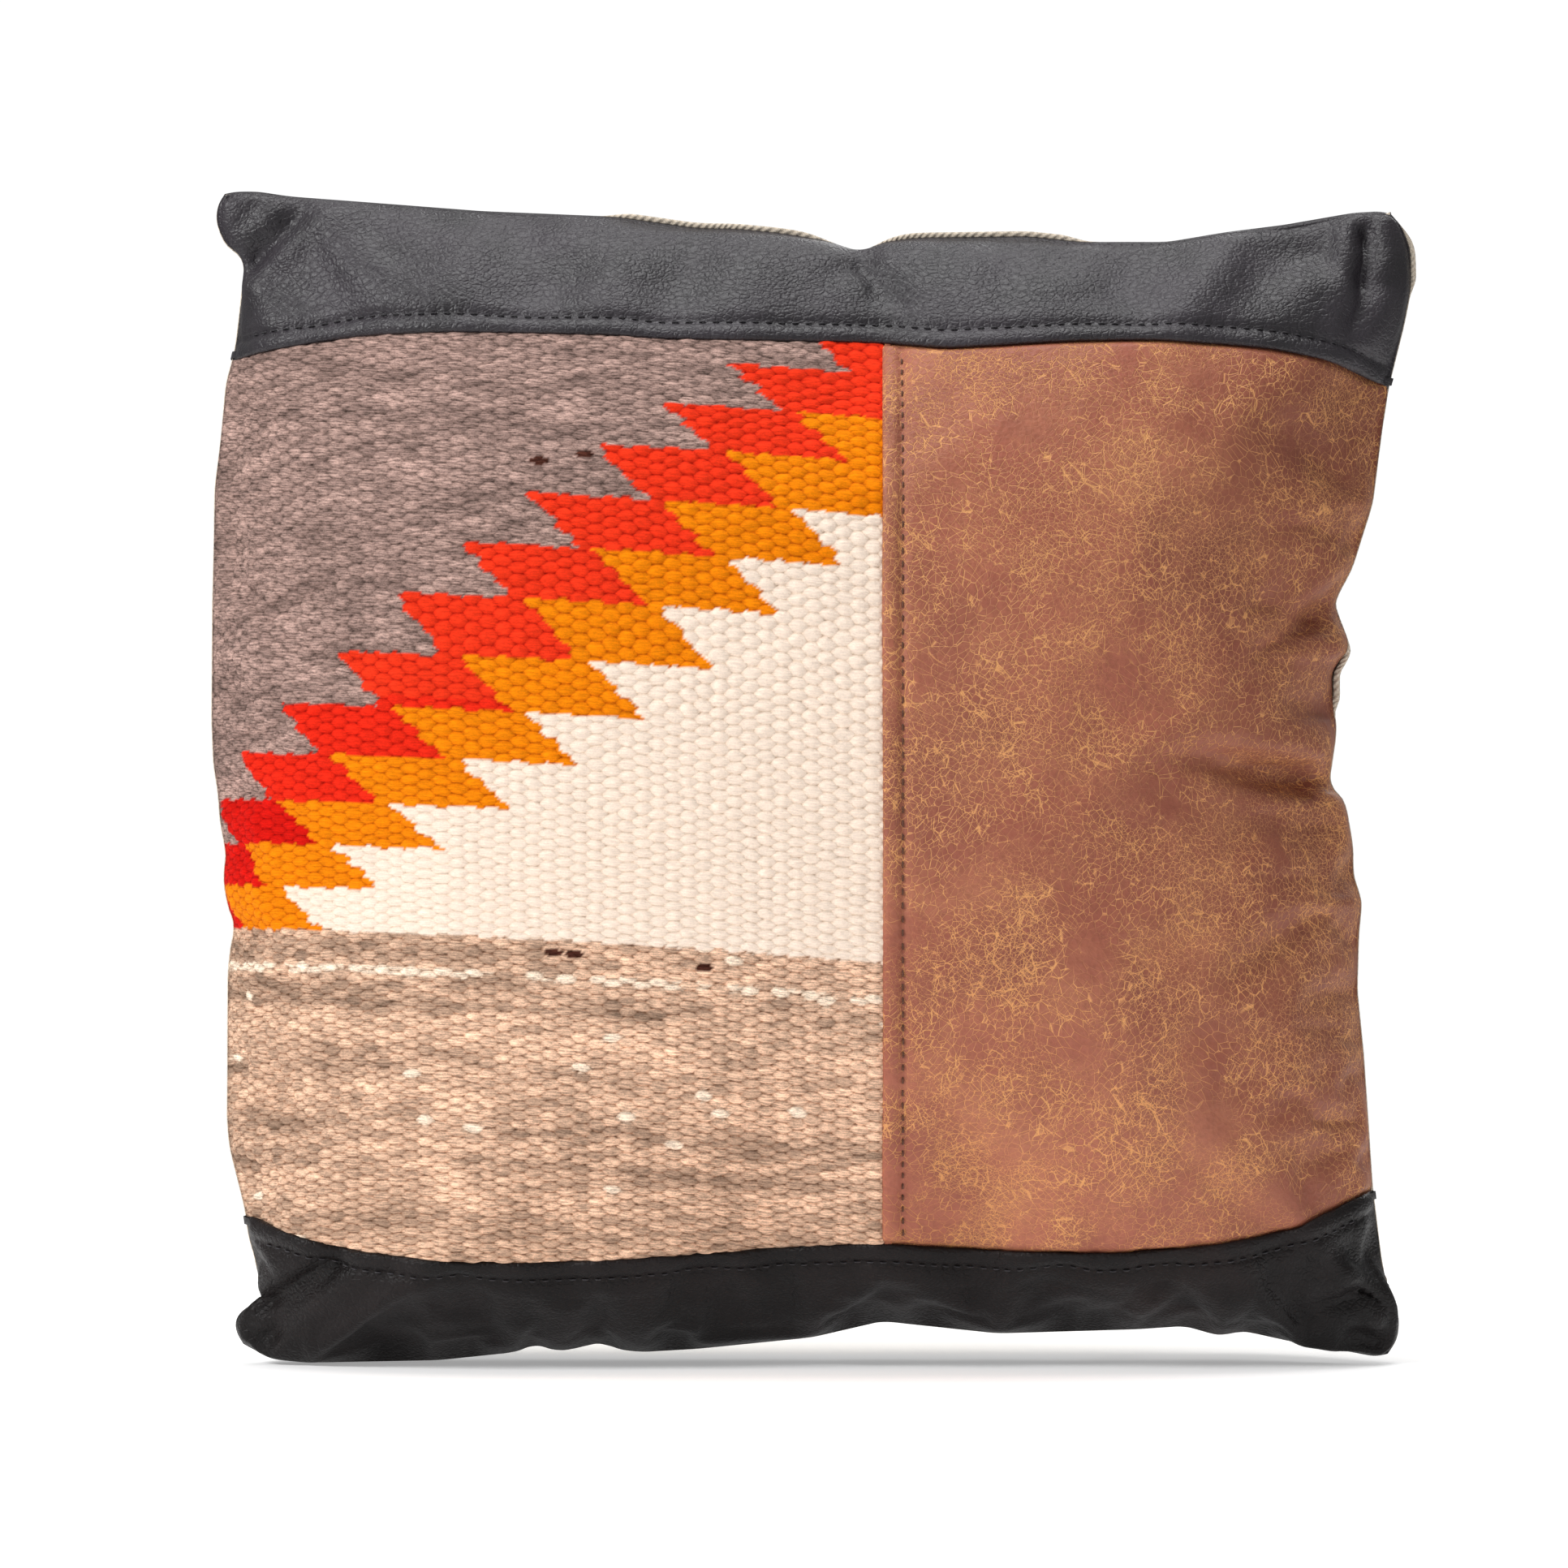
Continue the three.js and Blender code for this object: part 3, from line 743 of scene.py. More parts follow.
def wool_panel():
    """The woven panel: lens-shaped beads of yarn in staggered columns, each in its own yarn colour."""
    lap = 4.0  # how far the wool reaches under its neighbours
    t = middle_rows(376, lap)
    s = np.linspace(0, 1, 258)
    lead = 0.22 * (1 - np.cos(s * math.pi / 2)) + 0.78 * s
    right = centre_seam(between_bands(low_seam(SEAM_U), top_seam(SEAM_U), t)) + lap / WIDE
    u = -1 + (right + 1)[:, None] * lead
    v = between_bands(low_seam(u), top_seam(u), t[:, None])
    base, normal = FRONT.place(u, v)
    place = seen(base)
    run = lengths(base)[..., 0]
    run = run - run[:, -1:] + lap + CENTRE_SEAM
    # The columns follow the view over the face, and the cloth's own length where it curves away.
    facing = place[..., 0] > -150
    turn = np.argmax(facing, axis=1)
    shift = (place[..., 0] - run)[np.arange(len(t)), turn]
    across = np.where(facing, place[..., 0], run + shift[:, None])
    up = rise_of(level(place))
    wobble = 0.9 * noise(up.shape, (26, 18), 3) + 0.5 * noise(up.shape, (60, 40), 4)
    across_b = across + 0.7 * noise(up.shape, (40, 22), 5)
    up_b = up + wobble
    # Rows of beads are closer together in the tan field than in the field above it.
    row_pitch = [1.95, 2.0, 2.25, 2.35, 2.25]
    thick = np.interp(up, [-130, -8, 6, 30, 230], row_pitch)
    rows_up = np.cumsum(np.pad(np.diff(up_b, axis=0), ((1, 0), (0, 0))) / thick, 0)
    rows_up = rows_up + up_b[:1] / row_pitch[0]
    col = across_b / WARP
    best = np.full(up.shape, NO_BEAD)
    bead_col, bead_row = np.zeros(up.shape), np.zeros(up.shape)
    c0, r0 = np.floor(col), np.floor(rows_up)
    for dc in (-1, 0, 1, 2):
        for dr in (-2, -1, 0, 1, 2, 3):
            c, r = c0 + dc, r0 + dr
            dx, dz = (col - c) / BEAD_WIDE, (rows_up - r) / BEAD_HIGH
            high = np.where((c + r) % 2 == 0, 1 - dx * dx - dz * dz, NO_BEAD)
            won = high > best
            best = np.where(won, high, best)
            bead_col, bead_row = np.where(won, c, bead_col), np.where(won, r, bead_row)
    relief = np.sqrt(np.clip(best, 0.0, 1)) * (0.95 + 0.45 * scatter(bead_col, bead_row, 3))
    grey_here = np.all(yarn_colour(across, up) == GREY, axis=-1)
    relief = relief * np.where(grey_here, 0.7, 1.0) + 0.18 * noise(up.shape, (120, 110), 9)
    # Each bead leans towards the colour of the yarn at its own middle.
    mid_across = across + (bead_col - col) * WARP * 0.55
    mid_up = up + (bead_row - rows_up) * thick * 0.3
    colour = yarn_colour(mid_across, mid_up)
    tint = scatter(bead_col, bead_row, 5) - 0.5
    tan = mid_up < 0
    grey = np.all(colour == GREY, axis=-1)
    cream = np.all(colour == CREAM, axis=-1)
    streak = noise(up.shape, (150, 26), 11)
    broad = noise(up.shape, (22, 9), 12)
    wide = noise(up.shape, (60, 7), 13)
    shade = 1 + np.where(cream, 0.04, 0.13) * tint
    shade = np.where(tan, 1 + 0.36 * tint + 0.20 * streak + 0.10 * wide, shade)
    shade = np.where(grey, 1 + 0.26 * tint + 0.30 * streak + 0.14 * wide, shade)
    for at, half, dark in TAN_STREAKS:
        shade = shade - np.where(tan, dark * np.exp(-((mid_up - at) / half) ** 2) * (1 + 0.9 * broad), 0)
    # Painted shade: the tan field is darker towards its left edge and towards its bottom.
    shade = shade - np.where(tan, 0.14 * fade(mid_across, -205, -120) + 0.10 * fade(mid_up, -118, -78), 0)
    colour = colour * np.clip(shade, 0.35, 1.6)[..., None]
    pale = tan & (scatter(bead_col, bead_row, 6) > 0.986)
    pale |= tan & (np.abs(mid_up + 14.5) < 1.6) & (scatter(bead_col, bead_row, 7) > 0.35)
    colour[pale] = PALE_PICK
    for x, z in FLECKS:
        near = ((place[..., 0] - x) / 3.6) ** 2 + ((place[..., 1] - z) / 1.5) ** 2 < 1
        colour[near] = DARK_FLECK
    # Painted shade for the crevices between the beads, in each yarn's crevice colour.
    crevice_shade = np.empty(colour.shape)
    crevice_shade[:] = CREVICE_SHADE_RED
    crevice_shade[colour[..., 1] > 0.1] = CREVICE_SHADE_GOLD
    crevice_shade[grey], crevice_shade[cream], crevice_shade[tan] = CREVICE_SHADE_GREY, CREVICE_SHADE_CREAM, CREVICE_SHADE_TAN
    # Where the wool is lapped by the bands and the brown leather, it lies lower.
    under = np.minimum(t, 1 - t)[:, None] * BETWEEN_BANDS
    relief = relief - 1.2 * fade(under, -1.5, 1.0) - 1.2 * (1 - fade(run - CENTRE_SEAM, -0.5, 1.5))
    relief = relief * fade(-u, 0.99, 1.0)
    points = base + normal * relief[..., None]
    points = rim_in(points, "first_col", -1)

    def pad(layer):
        """A layer of the grid, with its first column repeated for the two turned in."""
        return np.concatenate([layer[:, :1], layer[:, :1], layer], 1)

    piece = grid_piece("striped_wool_front", points, pad(np.stack([across, up], -1)))
    depth = np.where(grey, 1.0, np.where(tan, 0.75, np.where(cream, 0.12, 0.25)))
    # The between layer carries the painted crevice shade to the wool finish.
    for name, layer in (("yarn", colour), ("between", crevice_shade)):
        paint = piece.data.attributes.new(name, "FLOAT_COLOR", "POINT")
        rgba = np.concatenate([pad(layer), pad(np.ones_like(depth))[..., None]], -1)
        paint.data.foreach_set("color", rgba.astype(np.float32).ravel())
    mixed = piece.data.attributes.new("heather", "FLOAT", "POINT")
    mixed.data.foreach_set("value", pad(depth).astype(np.float32).ravel())
    beads = pad(np.stack([col, rows_up], -1)).reshape(-1, 2)
    corner = np.zeros(len(piece.data.loops), np.int32)
    piece.data.loops.foreach_get("vertex_index", corner)
    lattice = piece.data.uv_layers.new(name="beads")
    lattice.data.foreach_set("uv", beads[corner].astype(np.float32).ravel())
    return piece


# ---------------------------------------------------------------- finishes

class Value:
    """A shader socket that can be used in sums."""

    def __init__(self, finish, socket):
        self.finish, self.socket = finish, socket

    def sum(self, kind, *others):
        return self.finish.node("Math", {"operation": kind}, dict(enumerate((self, *others))))

    def __add__(self, other):
        return self.sum("ADD", other)

    def __mul__(self, other):
        return self.sum("MULTIPLY", other)

    def __sub__(self, other):
        return self.sum("SUBTRACT", other)

    def __rsub__(self, other):
        return (self * -1) + other

    def __truediv__(self, other):
        return self.sum("DIVIDE", other)

    def __pow__(self, other):
        return self.sum("POWER", other)

    __radd__, __rmul__ = __add__, __mul__

    def sine(self):
        return self.sum("SINE")

    def ramp(self, low, high):
        """0 below low and 1 above high, with soft ends."""
        return self.finish.node("MapRange", {"interpolation_type": "SMOOTHSTEP"},
                                {"Value": self, "From Min": low, "From Max": high})


class Finish:
    """A material, built node by node."""

    def __init__(self, name, fixed):
        self.material = bpy.data.materials.new(name)
        self.material.use_nodes = True
        self.tree = self.material.node_tree
        self.shader = self.tree.nodes["Principled BSDF"]
        for socket, value in fixed.items():
            self.shader.inputs[socket].default_value = value

    def node(self, kind, settings=None, inputs=None, out=0):
        made = self.tree.nodes.new("ShaderNode" + kind)
        for key, value in (settings or {}).items():
            setattr(made, key, value)
        for key, value in (inputs or {}).items():
            if isinstance(value, Value):
                self.tree.links.new(value.socket, made.inputs[key])
            else:
                made.inputs[key].default_value = value
        return Value(self, made.outputs[out])

    def place(self, scale=(1, 1, 1), turn=(0, 0, 0)):
        """Object coordinates in metres, stretched and turned."""
        where = self.node("TexCoord", out="Object")
        return self.node("Mapping", None, {"Vector": where, "Scale": scale, "Rotation": turn})

    def cloth(self, scale=(1, 1, 1)):
        where = self.node("UVMap", {"uv_map": "cloth"})
        return self.node("Mapping", None, {"Vector": where, "Scale": scale})

    def noise(self, where, scale, detail=3.0, rough=0.5, bend=0.0):
        return self.node("TexNoise", None, {"Vector": where, "Scale": scale, "Detail": detail,
                                            "Roughness": rough, "Distortion": bend})

    def cells(self, where, scale, kind="F1", jitter=1.0):
        return self.node("TexVoronoi", {"feature": kind}, {"Vector": where, "Scale": scale,
                                                           "Randomness": jitter})

    def nudged(self, where, amount, scale, detail=3.0):
        """Coordinates shaken by noise, so that lines wander."""
        shake = self.node("TexNoise", None, {"Vector": where, "Scale": scale, "Detail": detail},
                          out="Color")
        centred = self.node("VectorMath", {"operation": "SUBTRACT"}, {0: shake, 1: (0.5, 0.5, 0.5)})
        scaled = self.node("VectorMath", {"operation": "SCALE"}, {0: centred, "Scale": amount})
        return self.node("VectorMath", {"operation": "ADD"}, {0: where, 1: scaled})

    def blend(self, share, first, second, kind="MIX"):
        return self.node("Mix", {"data_type": "RGBA", "blend_type": kind, "clamp_factor": True},
                         {0: share, 6: full(first), 7: full(second)}, out=2)

    def bump(self, height, distance, strength=1.0):
        made = self.node("Bump", None, {"Height": height, "Distance": distance, "Strength": strength})
        self.tree.links.new(made.socket, self.shader.inputs["Normal"])

    def drive(self, socket, value):
        self.tree.links.new(value.socket, self.shader.inputs[socket])


def full(colour):
    return (*colour, 1.0) if isinstance(colour, tuple) and len(colour) == 3 else colour


def wool_finish():
    f = Finish("striped_wool", {"Roughness": 0.95, "Specular IOR Level": 0.08})
    yarn = f.node("Attribute", {"attribute_name": "yarn"}, out="Color")
    between = f.node("Attribute", {"attribute_name": "between"}, out="Color")
    heather = f.node("Attribute", {"attribute_name": "heather"}, out="Fac")
    beads = f.node("SeparateXYZ", None, {0: f.node("UVMap", {"uv_map": "beads"})})
    col, row = beads, Value(f, beads.socket.node.outputs[1])
    soft = f.noise(f.cloth((500, 700, 1)), 1.0, 2.0, 0.5) - 0.5
    heights = []
    for shift in (0, 1):
        dx = (col + shift + soft * 0.22).sum("WRAP", 1.0, -1.0) * (1 / BEAD_WIDE)
        dz = (row + shift + soft * 0.30).sum("WRAP", 1.0, -1.0) * (1 / BEAD_HIGH)
        heights.append(1 - dx * dx - dz * dz)
    bead = heights[0].sum("MAXIMUM", heights[1]).sum("MAXIMUM", 0.0) ** 0.5
    fibres = f.noise(f.cloth((240, 1500, 1)), 1.0, 3.0, 0.65).ramp(0.3, 0.7)
    fine = f.noise(f.place(), 1700, 2.0, 0.6)
    twist = f.noise(f.cloth((420, 1900, 1)), 1.0, 2.0, 0.5, 0.6)
    shade = (fibres - 0.5) * (heather * 1.05 + 0.10) + (fine - 0.5) * (heather * 0.9 + 0.2) + 1.03
    tone = f.node("CombineColor", None, {0: shade, 1: shade, 2: shade})
    lit = f.blend(1.0, yarn, tone, "MULTIPLY")
    # Painted shade: the yarn colour is darkened in the crevices between the beads, most where the bead is
    # lowest.
    crevice_shade = (1 - bead).ramp(0.10, 0.92) * (1 - heather * 0.12)
    f.drive("Base Color", f.blend(crevice_shade, lit, f.blend(1.0, lit, between, "MULTIPLY")))
    f.bump(bead * 1.0 + fibres * 0.22 + fine * 0.2 + twist * 0.2, 0.0011, 0.6)
    return f.material


def brown_leather_finish():
    f = Finish("distressed_brown_leather", {"Specular IOR Level": 0.34})
    here = f.place()
    drift = f.noise(here, 9, 3.0, 0.55)
    pores = f.noise(here, 900, 2.0, 0.6)

    def net(size, long, turn, width, shake, mask_size, low, high):
        """Fine cracks about size millimetres apart, drawn out by long, turned, and in patches."""
        shaken = f.nudged(f.place((1, 1, 1), (0, turn, 0)), shake, 55, 1.0)
        stretched = f.node("Mapping", None, {"Vector": shaken, "Scale": (1 / long, 1, 1)})
        line = 1 - f.cells(stretched, 1000 / size, "DISTANCE_TO_EDGE").ramp(0.0, width)
        return line * f.noise(here, 1000 / mask_size, 1.2, 0.5).ramp(low, high)

    cracks = (net(2.4, 1.5, 0.8, 0.056, 0.0030, 32, 0.28, 0.60)
              + net(2.9, 2.1, -0.6, 0.048, 0.0035, 24, 0.34, 0.62)
              + net(1.7, 1.2, 0.2, 0.062, 0.0015, 36, 0.40, 0.66)
              + net(3.6, 3.2, 0.95, 0.036, 0.0045, 17, 0.44, 0.60)
              + net(4.0, 3.2, -0.85, 0.034, 0.0045, 17, 0.44, 0.60))
    film = f.noise(here, 24, 4.0, 0.62).ramp(0.38, 0.72)
    plum = f.noise(here, 15, 3.0, 0.55, 0.3).ramp(0.46, 0.72)
    base = f.blend(drift.ramp(0.3, 0.7), (0.30, 0.084, 0.052), (0.44, 0.138, 0.084))
    base = f.blend(film * 0.6, base, (0.53, 0.20, 0.105))
    base = f.blend(plum * 0.42, base, (0.185, 0.055, 0.040))
    # Painted shade: the leather darkens towards its right side, from x = 110 mm to x = 200 mm.
    across = f.node("SeparateXYZ", None, {0: here})
    base = f.blend(across.ramp(0.11, 0.20) * 0.55, base, (0.185, 0.052, 0.030))
    base = f.blend(f.noise(here, 420, 2.0, 0.6).ramp(0.35, 0.8) * 0.35, base, (0.21, 0.066, 0.038))
    base = f.blend((cracks * 0.66).ramp(0.0, 0.95) * 0.9, base, (0.84, 0.40, 0.145))
    f.drive("Base Color", base)
    f.drive("Roughness", drift * 0.14 + pores * 0.10 + cracks * 0.10 + 0.40)
    pebble = f.cells(here, 560)
    f.bump(pebble * 0.5 + pores * 0.25 - cracks * 0.4 + f.noise(here, 150, 3.0) * 0.8, 0.0007, 0.6)
    return f.material


def black_leather_finish(name, dark, light, scuff, gloss):
    f = Finish(name, {"Specular IOR Level": gloss})
    here = f.place()
    pebble = f.cells(f.nudged(here, 0.0008, 500), 950, "SMOOTH_F1")
    creases = 1 - f.cells(f.nudged(f.place((1, 1, 1.5), (0, 0.25, 0)), 0.003, 160), 300,
                          "DISTANCE_TO_EDGE").ramp(0.0, 0.16)
    soft = f.noise(here, 26, 4.0, 0.6)
    worn = f.noise(here, 11, 4.0, 0.62, 0.4)
    base = f.blend(soft.ramp(0.3, 0.72), dark, light)
    base = f.blend(worn.ramp(0.56, 0.78) * 0.35, base, scuff)
    f.drive("Base Color", base)
    f.drive("Roughness", soft * 0.16 + pebble * 0.20 + 0.30)
    f.bump(pebble * 0.9 - creases * 0.4 + f.noise(here, 90, 2.0) * 0.5, 0.0006, 0.55)
    return f.material


def cream_cloth_finish():
    f = Finish("cream_cloth", {"Roughness": 0.93, "Specular IOR Level": 0.15, "Sheen Weight": 0.3,
                               "Sheen Roughness": 0.6})
    where = f.cloth((1, 1, 1))
    split = f.node("SeparateXYZ", None, {0: where}, out=0)
    across, up = split, Value(f, split.socket.node.outputs[1])
    weft = (across * (2 * math.pi / 0.0028)).sine()
    warp = (up * (2 * math.pi / 0.0028)).sine()
    weave = weft * warp * 0.5 + 0.5
    slubs = f.noise(f.cloth((60, 900, 1)), 1.0, 3.0, 0.6)
    cloudy = f.noise(f.place(), 24, 4.0, 0.6)
    fuzz = f.noise(f.place(), 1500, 3.0, 0.7)
    base = f.blend(cloudy.ramp(0.3, 0.75), (0.86, 0.75, 0.61), (0.90, 0.80, 0.66))
    base = f.blend((1 - weave) * 0.38 + slubs.ramp(0.55, 0.8) * 0.2, base, (0.60, 0.46, 0.32))
    f.drive("Base Color", base)
    f.bump(weave * 1.0 + slubs * 0.4 + fuzz * 0.4, 0.0007, 0.8)
    return f.material


def thread_finish(name, colour):
    f = Finish(name, {"Roughness": 0.62, "Specular IOR Level": 0.35})
    twist = f.noise(f.place((1, 1, 1), (0, 0.6, 0.3)), 1400, 3.0, 0.6)
    f.drive("Base Color", f.blend(twist.ramp(0.3, 0.75), tuple(c * 0.7 for c in colour),
                                  tuple(min(1, c * 1.35) for c in colour)))
    f.bump(twist, 0.0003, 0.6)
    return f.material


def plain_cloth_finish(name, colour, pitch):
    f = Finish(name, {"Roughness": 0.9, "Specular IOR Level": 0.2})
    here = f.place((1 / pitch, 1 / pitch, 1 / pitch))
    weave = f.node("TexWave", {"wave_type": "BANDS", "bands_direction": "X"},
                   {"Vector": here, "Scale": 1.0, "Distortion": 0.6})
    other = f.node("TexWave", {"wave_type": "BANDS", "bands_direction": "Z"},
                   {"Vector": here, "Scale": 1.0, "Distortion": 0.6})
    cloudy = f.noise(f.place(), 40, 3.0)
    f.drive("Base Color", f.blend(weave * other * 0.4 + cloudy * 0.3, colour,
                                  tuple(c * 0.72 for c in colour)))
    f.bump(weave + other, pitch * 0.2, 0.6)
    return f.material


def metal_finish():
    f = Finish("dull_zip_metal", {"Metallic": 1.0})
    worn = f.noise(f.place(), 900, 4.0, 0.65)
    lines = f.noise(f.place((60, 900, 900)), 1.0, 2.0)
    f.drive("Base Color", f.blend(worn.ramp(0.35, 0.75), (0.34, 0.33, 0.32), (0.50, 0.49, 0.47)))
    f.drive("Roughness", worn * 0.2 + lines * 0.15 + 0.22)
    f.bump(worn * 0.3 + lines * 0.4, 0.00008, 0.4)
    return f.material


def wear(piece, material, body, nodes=()):
    """Dresses a piece, ties it to its body, and hides the solids it stands for."""
    piece.data.materials.clear()
    piece.data.materials.append(material)
    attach(piece, body)
    if nodes:
        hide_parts(*nodes)


# ---------------------------------------------------------------- making the cover

wool = wool_panel()
brown = brown_panel()
band_top = top_band()
band_low = bottom_band()
cream = back_panel()

# The two bands are one black leather with two copies of its colours: the bottom band's darker copy is
# painted shade for its downward face.
black_top = black_leather_finish(
    "top_black_leather", (0.014, 0.0115, 0.0145), (0.032, 0.026, 0.033), (0.068, 0.058, 0.070), 0.50)
black_low_shaded = black_leather_finish(
    "bottom_black_leather", (0.006, 0.0048, 0.0048), (0.013, 0.0095, 0.0095), (0.028, 0.015, 0.013), 0.18)
black_thread = thread_finish("black_waxed_thread", (0.034, 0.031, 0.035))
brown_thread = thread_finish("brown_waxed_thread", (0.12, 0.050, 0.030))

wear(wool, wool_finish(), "cover", ["front_wool_panel"])
wear(brown, brown_leather_finish(), "cover", ["front_brown_leather_panel"])
wear(band_top, black_top, "cover", ["top_black_leather_band"])
wear(band_low, black_low_shaded, "cover", ["bottom_black_leather_band"])
wear(cream, cream_cloth_finish(), "cover", ["back_cloth_panel"])

line_u = np.linspace(-0.962, 0.962, 500)
for word, row_v in (("top", top_seam(line_u) + STITCH_IN / HIGH),
                    ("bottom", low_seam(line_u) - STITCH_IN / HIGH)):
    wear(stitches(word + "_band_stitches", FRONT, np.stack([line_u, row_v], 1)),
         black_thread, "cover", [word + "_band_thread"])
line_v = np.linspace(low_seam(SEAM_U) + 0.012, top_seam(SEAM_U) - 0.012, 400)
seam_u = centre_seam(line_v) + STITCH_IN / WIDE
wear(stitches("centre_seam_stitches", FRONT, np.stack([seam_u, line_v], 1), 0.95, 0.34),
     brown_thread, "cover", ["centre_seam_thread"])


# ---------------------------------------------------------------- the insert inside

# The cover's own shape to keep inside of, and smoother ones without its creases to follow.
COVER = BVHTree.FromPolygons(*(part.tolist() for part in joined_cover(front_grid, back_grid)[:2]))
LINING = {"front": Skin(relaxed(front_grid, 24), 1), "back": Skin(relaxed(back_grid, 6), -1)}


def kept_inside(points, gap):
    """The points, those outside the cover or closer to it than gap moved in."""
    flat = points.reshape(-1, 3).copy()
    for k, p in enumerate(flat):
        near, normal = COVER.find_nearest(Vector(p))[:2]
        if (Vector(p) - near).dot(normal) > -gap:
            flat[k] = near - normal * gap
    return flat.reshape(points.shape)


# How much further the insert lies in under the zipper.
ZIP_ROOM = 2.6


def zip_share(side, u, v):
    """1 under the zipper on the back, 0 elsewhere."""
    p = LINING[side].spot(u, v)
    share = fade(np.abs(p[..., 0]), 158, 185) * fade(np.abs(p[..., 2] - ZIP_Z), 18, 34)
    return share * (side == "back")


def casing_half(side):
    """One half of the insert's casing, a little smaller than the cover and clear of its folds."""
    v, u = np.meshgrid(columns(180) * 0.98, columns(180) * 0.965, indexing="ij")
    rim = np.minimum(1 - np.abs(u), 1 - np.abs(v))
    drop = -5.0 * (1 - fade(rim, 0.02, 0.045)) - 0.6 - ZIP_ROOM * zip_share(side, u, v)
    points = kept_inside(LINING[side].place(u, v, drop)[0], 2.6)
    return grid_piece("insert_casing_" + side + "_cloth", points, None, 0.6, flip=side == "back")


def filling():
    """The fibre inside the casing, one closed and slightly lumpy shape."""
    v, u = np.meshgrid(columns(90) * 0.975, columns(90) * 0.955, indexing="ij")
    rim = np.minimum(1 - np.abs(u), 1 - np.abs(v))
    halves = []
    for side, seed in (("front", 21), ("back", 22)):
        drop = -8.0 * (1 - fade(rim, 0.02, 0.09)) - 1.2 * np.abs(noise(u.shape, (16, 16), seed))
        drop = drop - ZIP_ROOM * zip_share(side, u, v)
        halves.append(kept_inside(LINING[side].place(u, v, drop)[0], 4.6))
    edge = np.ones(u.shape, bool)
    edge[1:-1, 1:-1] = False
    middle = (halves[0] + halves[1]) / 2
    grids = [np.where(edge[..., None], middle, half) for half in halves]
    points, faces = joined_cover(*grids)[:2]
    return mesh_piece("fibre_filling", points, faces.tolist())


# ---------------------------------------------------------------- the zipper

ALONG = np.array([1.0, 0, 0])
OUT = np.array([0, math.cos(ZIP_TILT), -math.sin(ZIP_TILT)])
UP = np.array([0, math.sin(ZIP_TILT), math.cos(ZIP_TILT)])
ZIP_MIDDLE = np.array([0, ZIP_Y - ZIP_UNDER * math.cos(ZIP_TILT), ZIP_Z + ZIP_UNDER * math.sin(ZIP_TILT)])
SLIDER_X, HINGE_OUT = 126.0, 4.8
TAPE_HALF, TAPE_EDGE, TEETH_HALF = 150, 16, 133


def by_zip(x, n, w):
    """A place given along the zipper, out of the back and up across it."""
    x, n, w = np.broadcast_arrays(x, n, w)
    return ZIP_MIDDLE + x[..., None] * ALONG + n[..., None] * OUT + w[..., None] * UP


def tape(name, side):
    """One side's tape, with a low ridge where the coil is sewn on."""
    x = np.linspace(-TAPE_HALF, TAPE_HALF, 301)
    width = [0, 0.025, 0.07, 0.13, 0.25, 0.41, 0.6, 0.84, 0.97, 1.0]
    share, xx = np.meshgrid(width, x, indexing="ij")
    # Along the coil the tape stands back from the middle, and past the coil's ends the two tapes meet.
    inner = 0.2 + 3.1 * fade(np.abs(xx), 133.6, 134.6)
    ww = side * (inner + (TAPE_EDGE - inner) * share)
    n = 0.22 * np.exp(-((np.abs(ww) - 4.1) / 0.5) ** 2)
    return grid_piece(name, by_zip(xx, n, ww), np.stack([xx, ww], -1), 0.75, flip=side > 0)


def coil(name, side):
    """One side's coil: a bent loop of thick yarn for every tooth."""
    path = [(3.1, 1.0), (1.9, 1.12), (0.95, 0.9), (0.5, 0.3), (0.5, -0.3), (0.95, -0.9), (1.9, -1.12),
            (3.1, -1.0)]
    pitch, radius, ring = 1.5, 0.36, 5
    points, faces = [], []
    for x in np.arange(-TEETH_HALF, TEETH_HALF + 0.1, pitch) + (0.25 * pitch * side):
        base = len(points)
        for k, (w, n) in enumerate(path):
            before, after = path[max(k - 1, 0)], path[min(k + 1, len(path) - 1)]
            way = np.array([after[0] - before[0], after[1] - before[1]])
            way /= np.linalg.norm(way)
            for a in np.linspace(0, 2 * math.pi, ring, endpoint=False):
                thick = radius * (1.25 if 3 <= k <= 4 else 1.0)
                off = math.cos(a) * thick
                points.append((x + math.sin(a) * thick + (k / 7 - 0.5) * 0.5 * pitch * 0.6,
                               n + off * way[0], (w - off * way[1]) * side))
        faces += tube_faces(base, len(path), ring)
        faces.append([base + a for a in range(ring)])
        faces.append([base + 7 * ring + a for a in range(ring)])
    p = np.array(points)
    return mesh_piece(name, by_zip(p[:, 0], p[:, 1], p[:, 2]), faces)


def plate(outline, low, high, axis, offset):
    """A flat outline pulled out to its thickness: axis is the zip direction that it is thick along."""
    across, along = np.array(outline, float).T
    order = {"n": lambda t: (across + offset, t, along), "w": lambda t: (across + offset, along, t),
             "x": lambda t: (t + offset, across, along)}[axis]
    start, end = by_zip(*order(low)) * MM, by_zip(*order(high)) * MM
    bpy.ops.object.select_all(action="DESELECT")
    bpy.ops.mesh.primitive_circle_add(vertices=len(outline), radius=MM, fill_type="NGON")
    made = bpy.context.object
    for vertex, place in zip(made.data.vertices, start):
        vertex.co = place
    bpy.ops.object.mode_set(mode="EDIT")
    bpy.ops.mesh.select_all(action="SELECT")
    bpy.ops.mesh.extrude_region_move(TRANSFORM_OT_translate={"value": end[0] - start[0]})
    bpy.ops.mesh.select_all(action="SELECT")
    bpy.ops.mesh.normals_make_consistent(inside=False)
    bpy.ops.object.mode_set(mode="OBJECT")
    return made


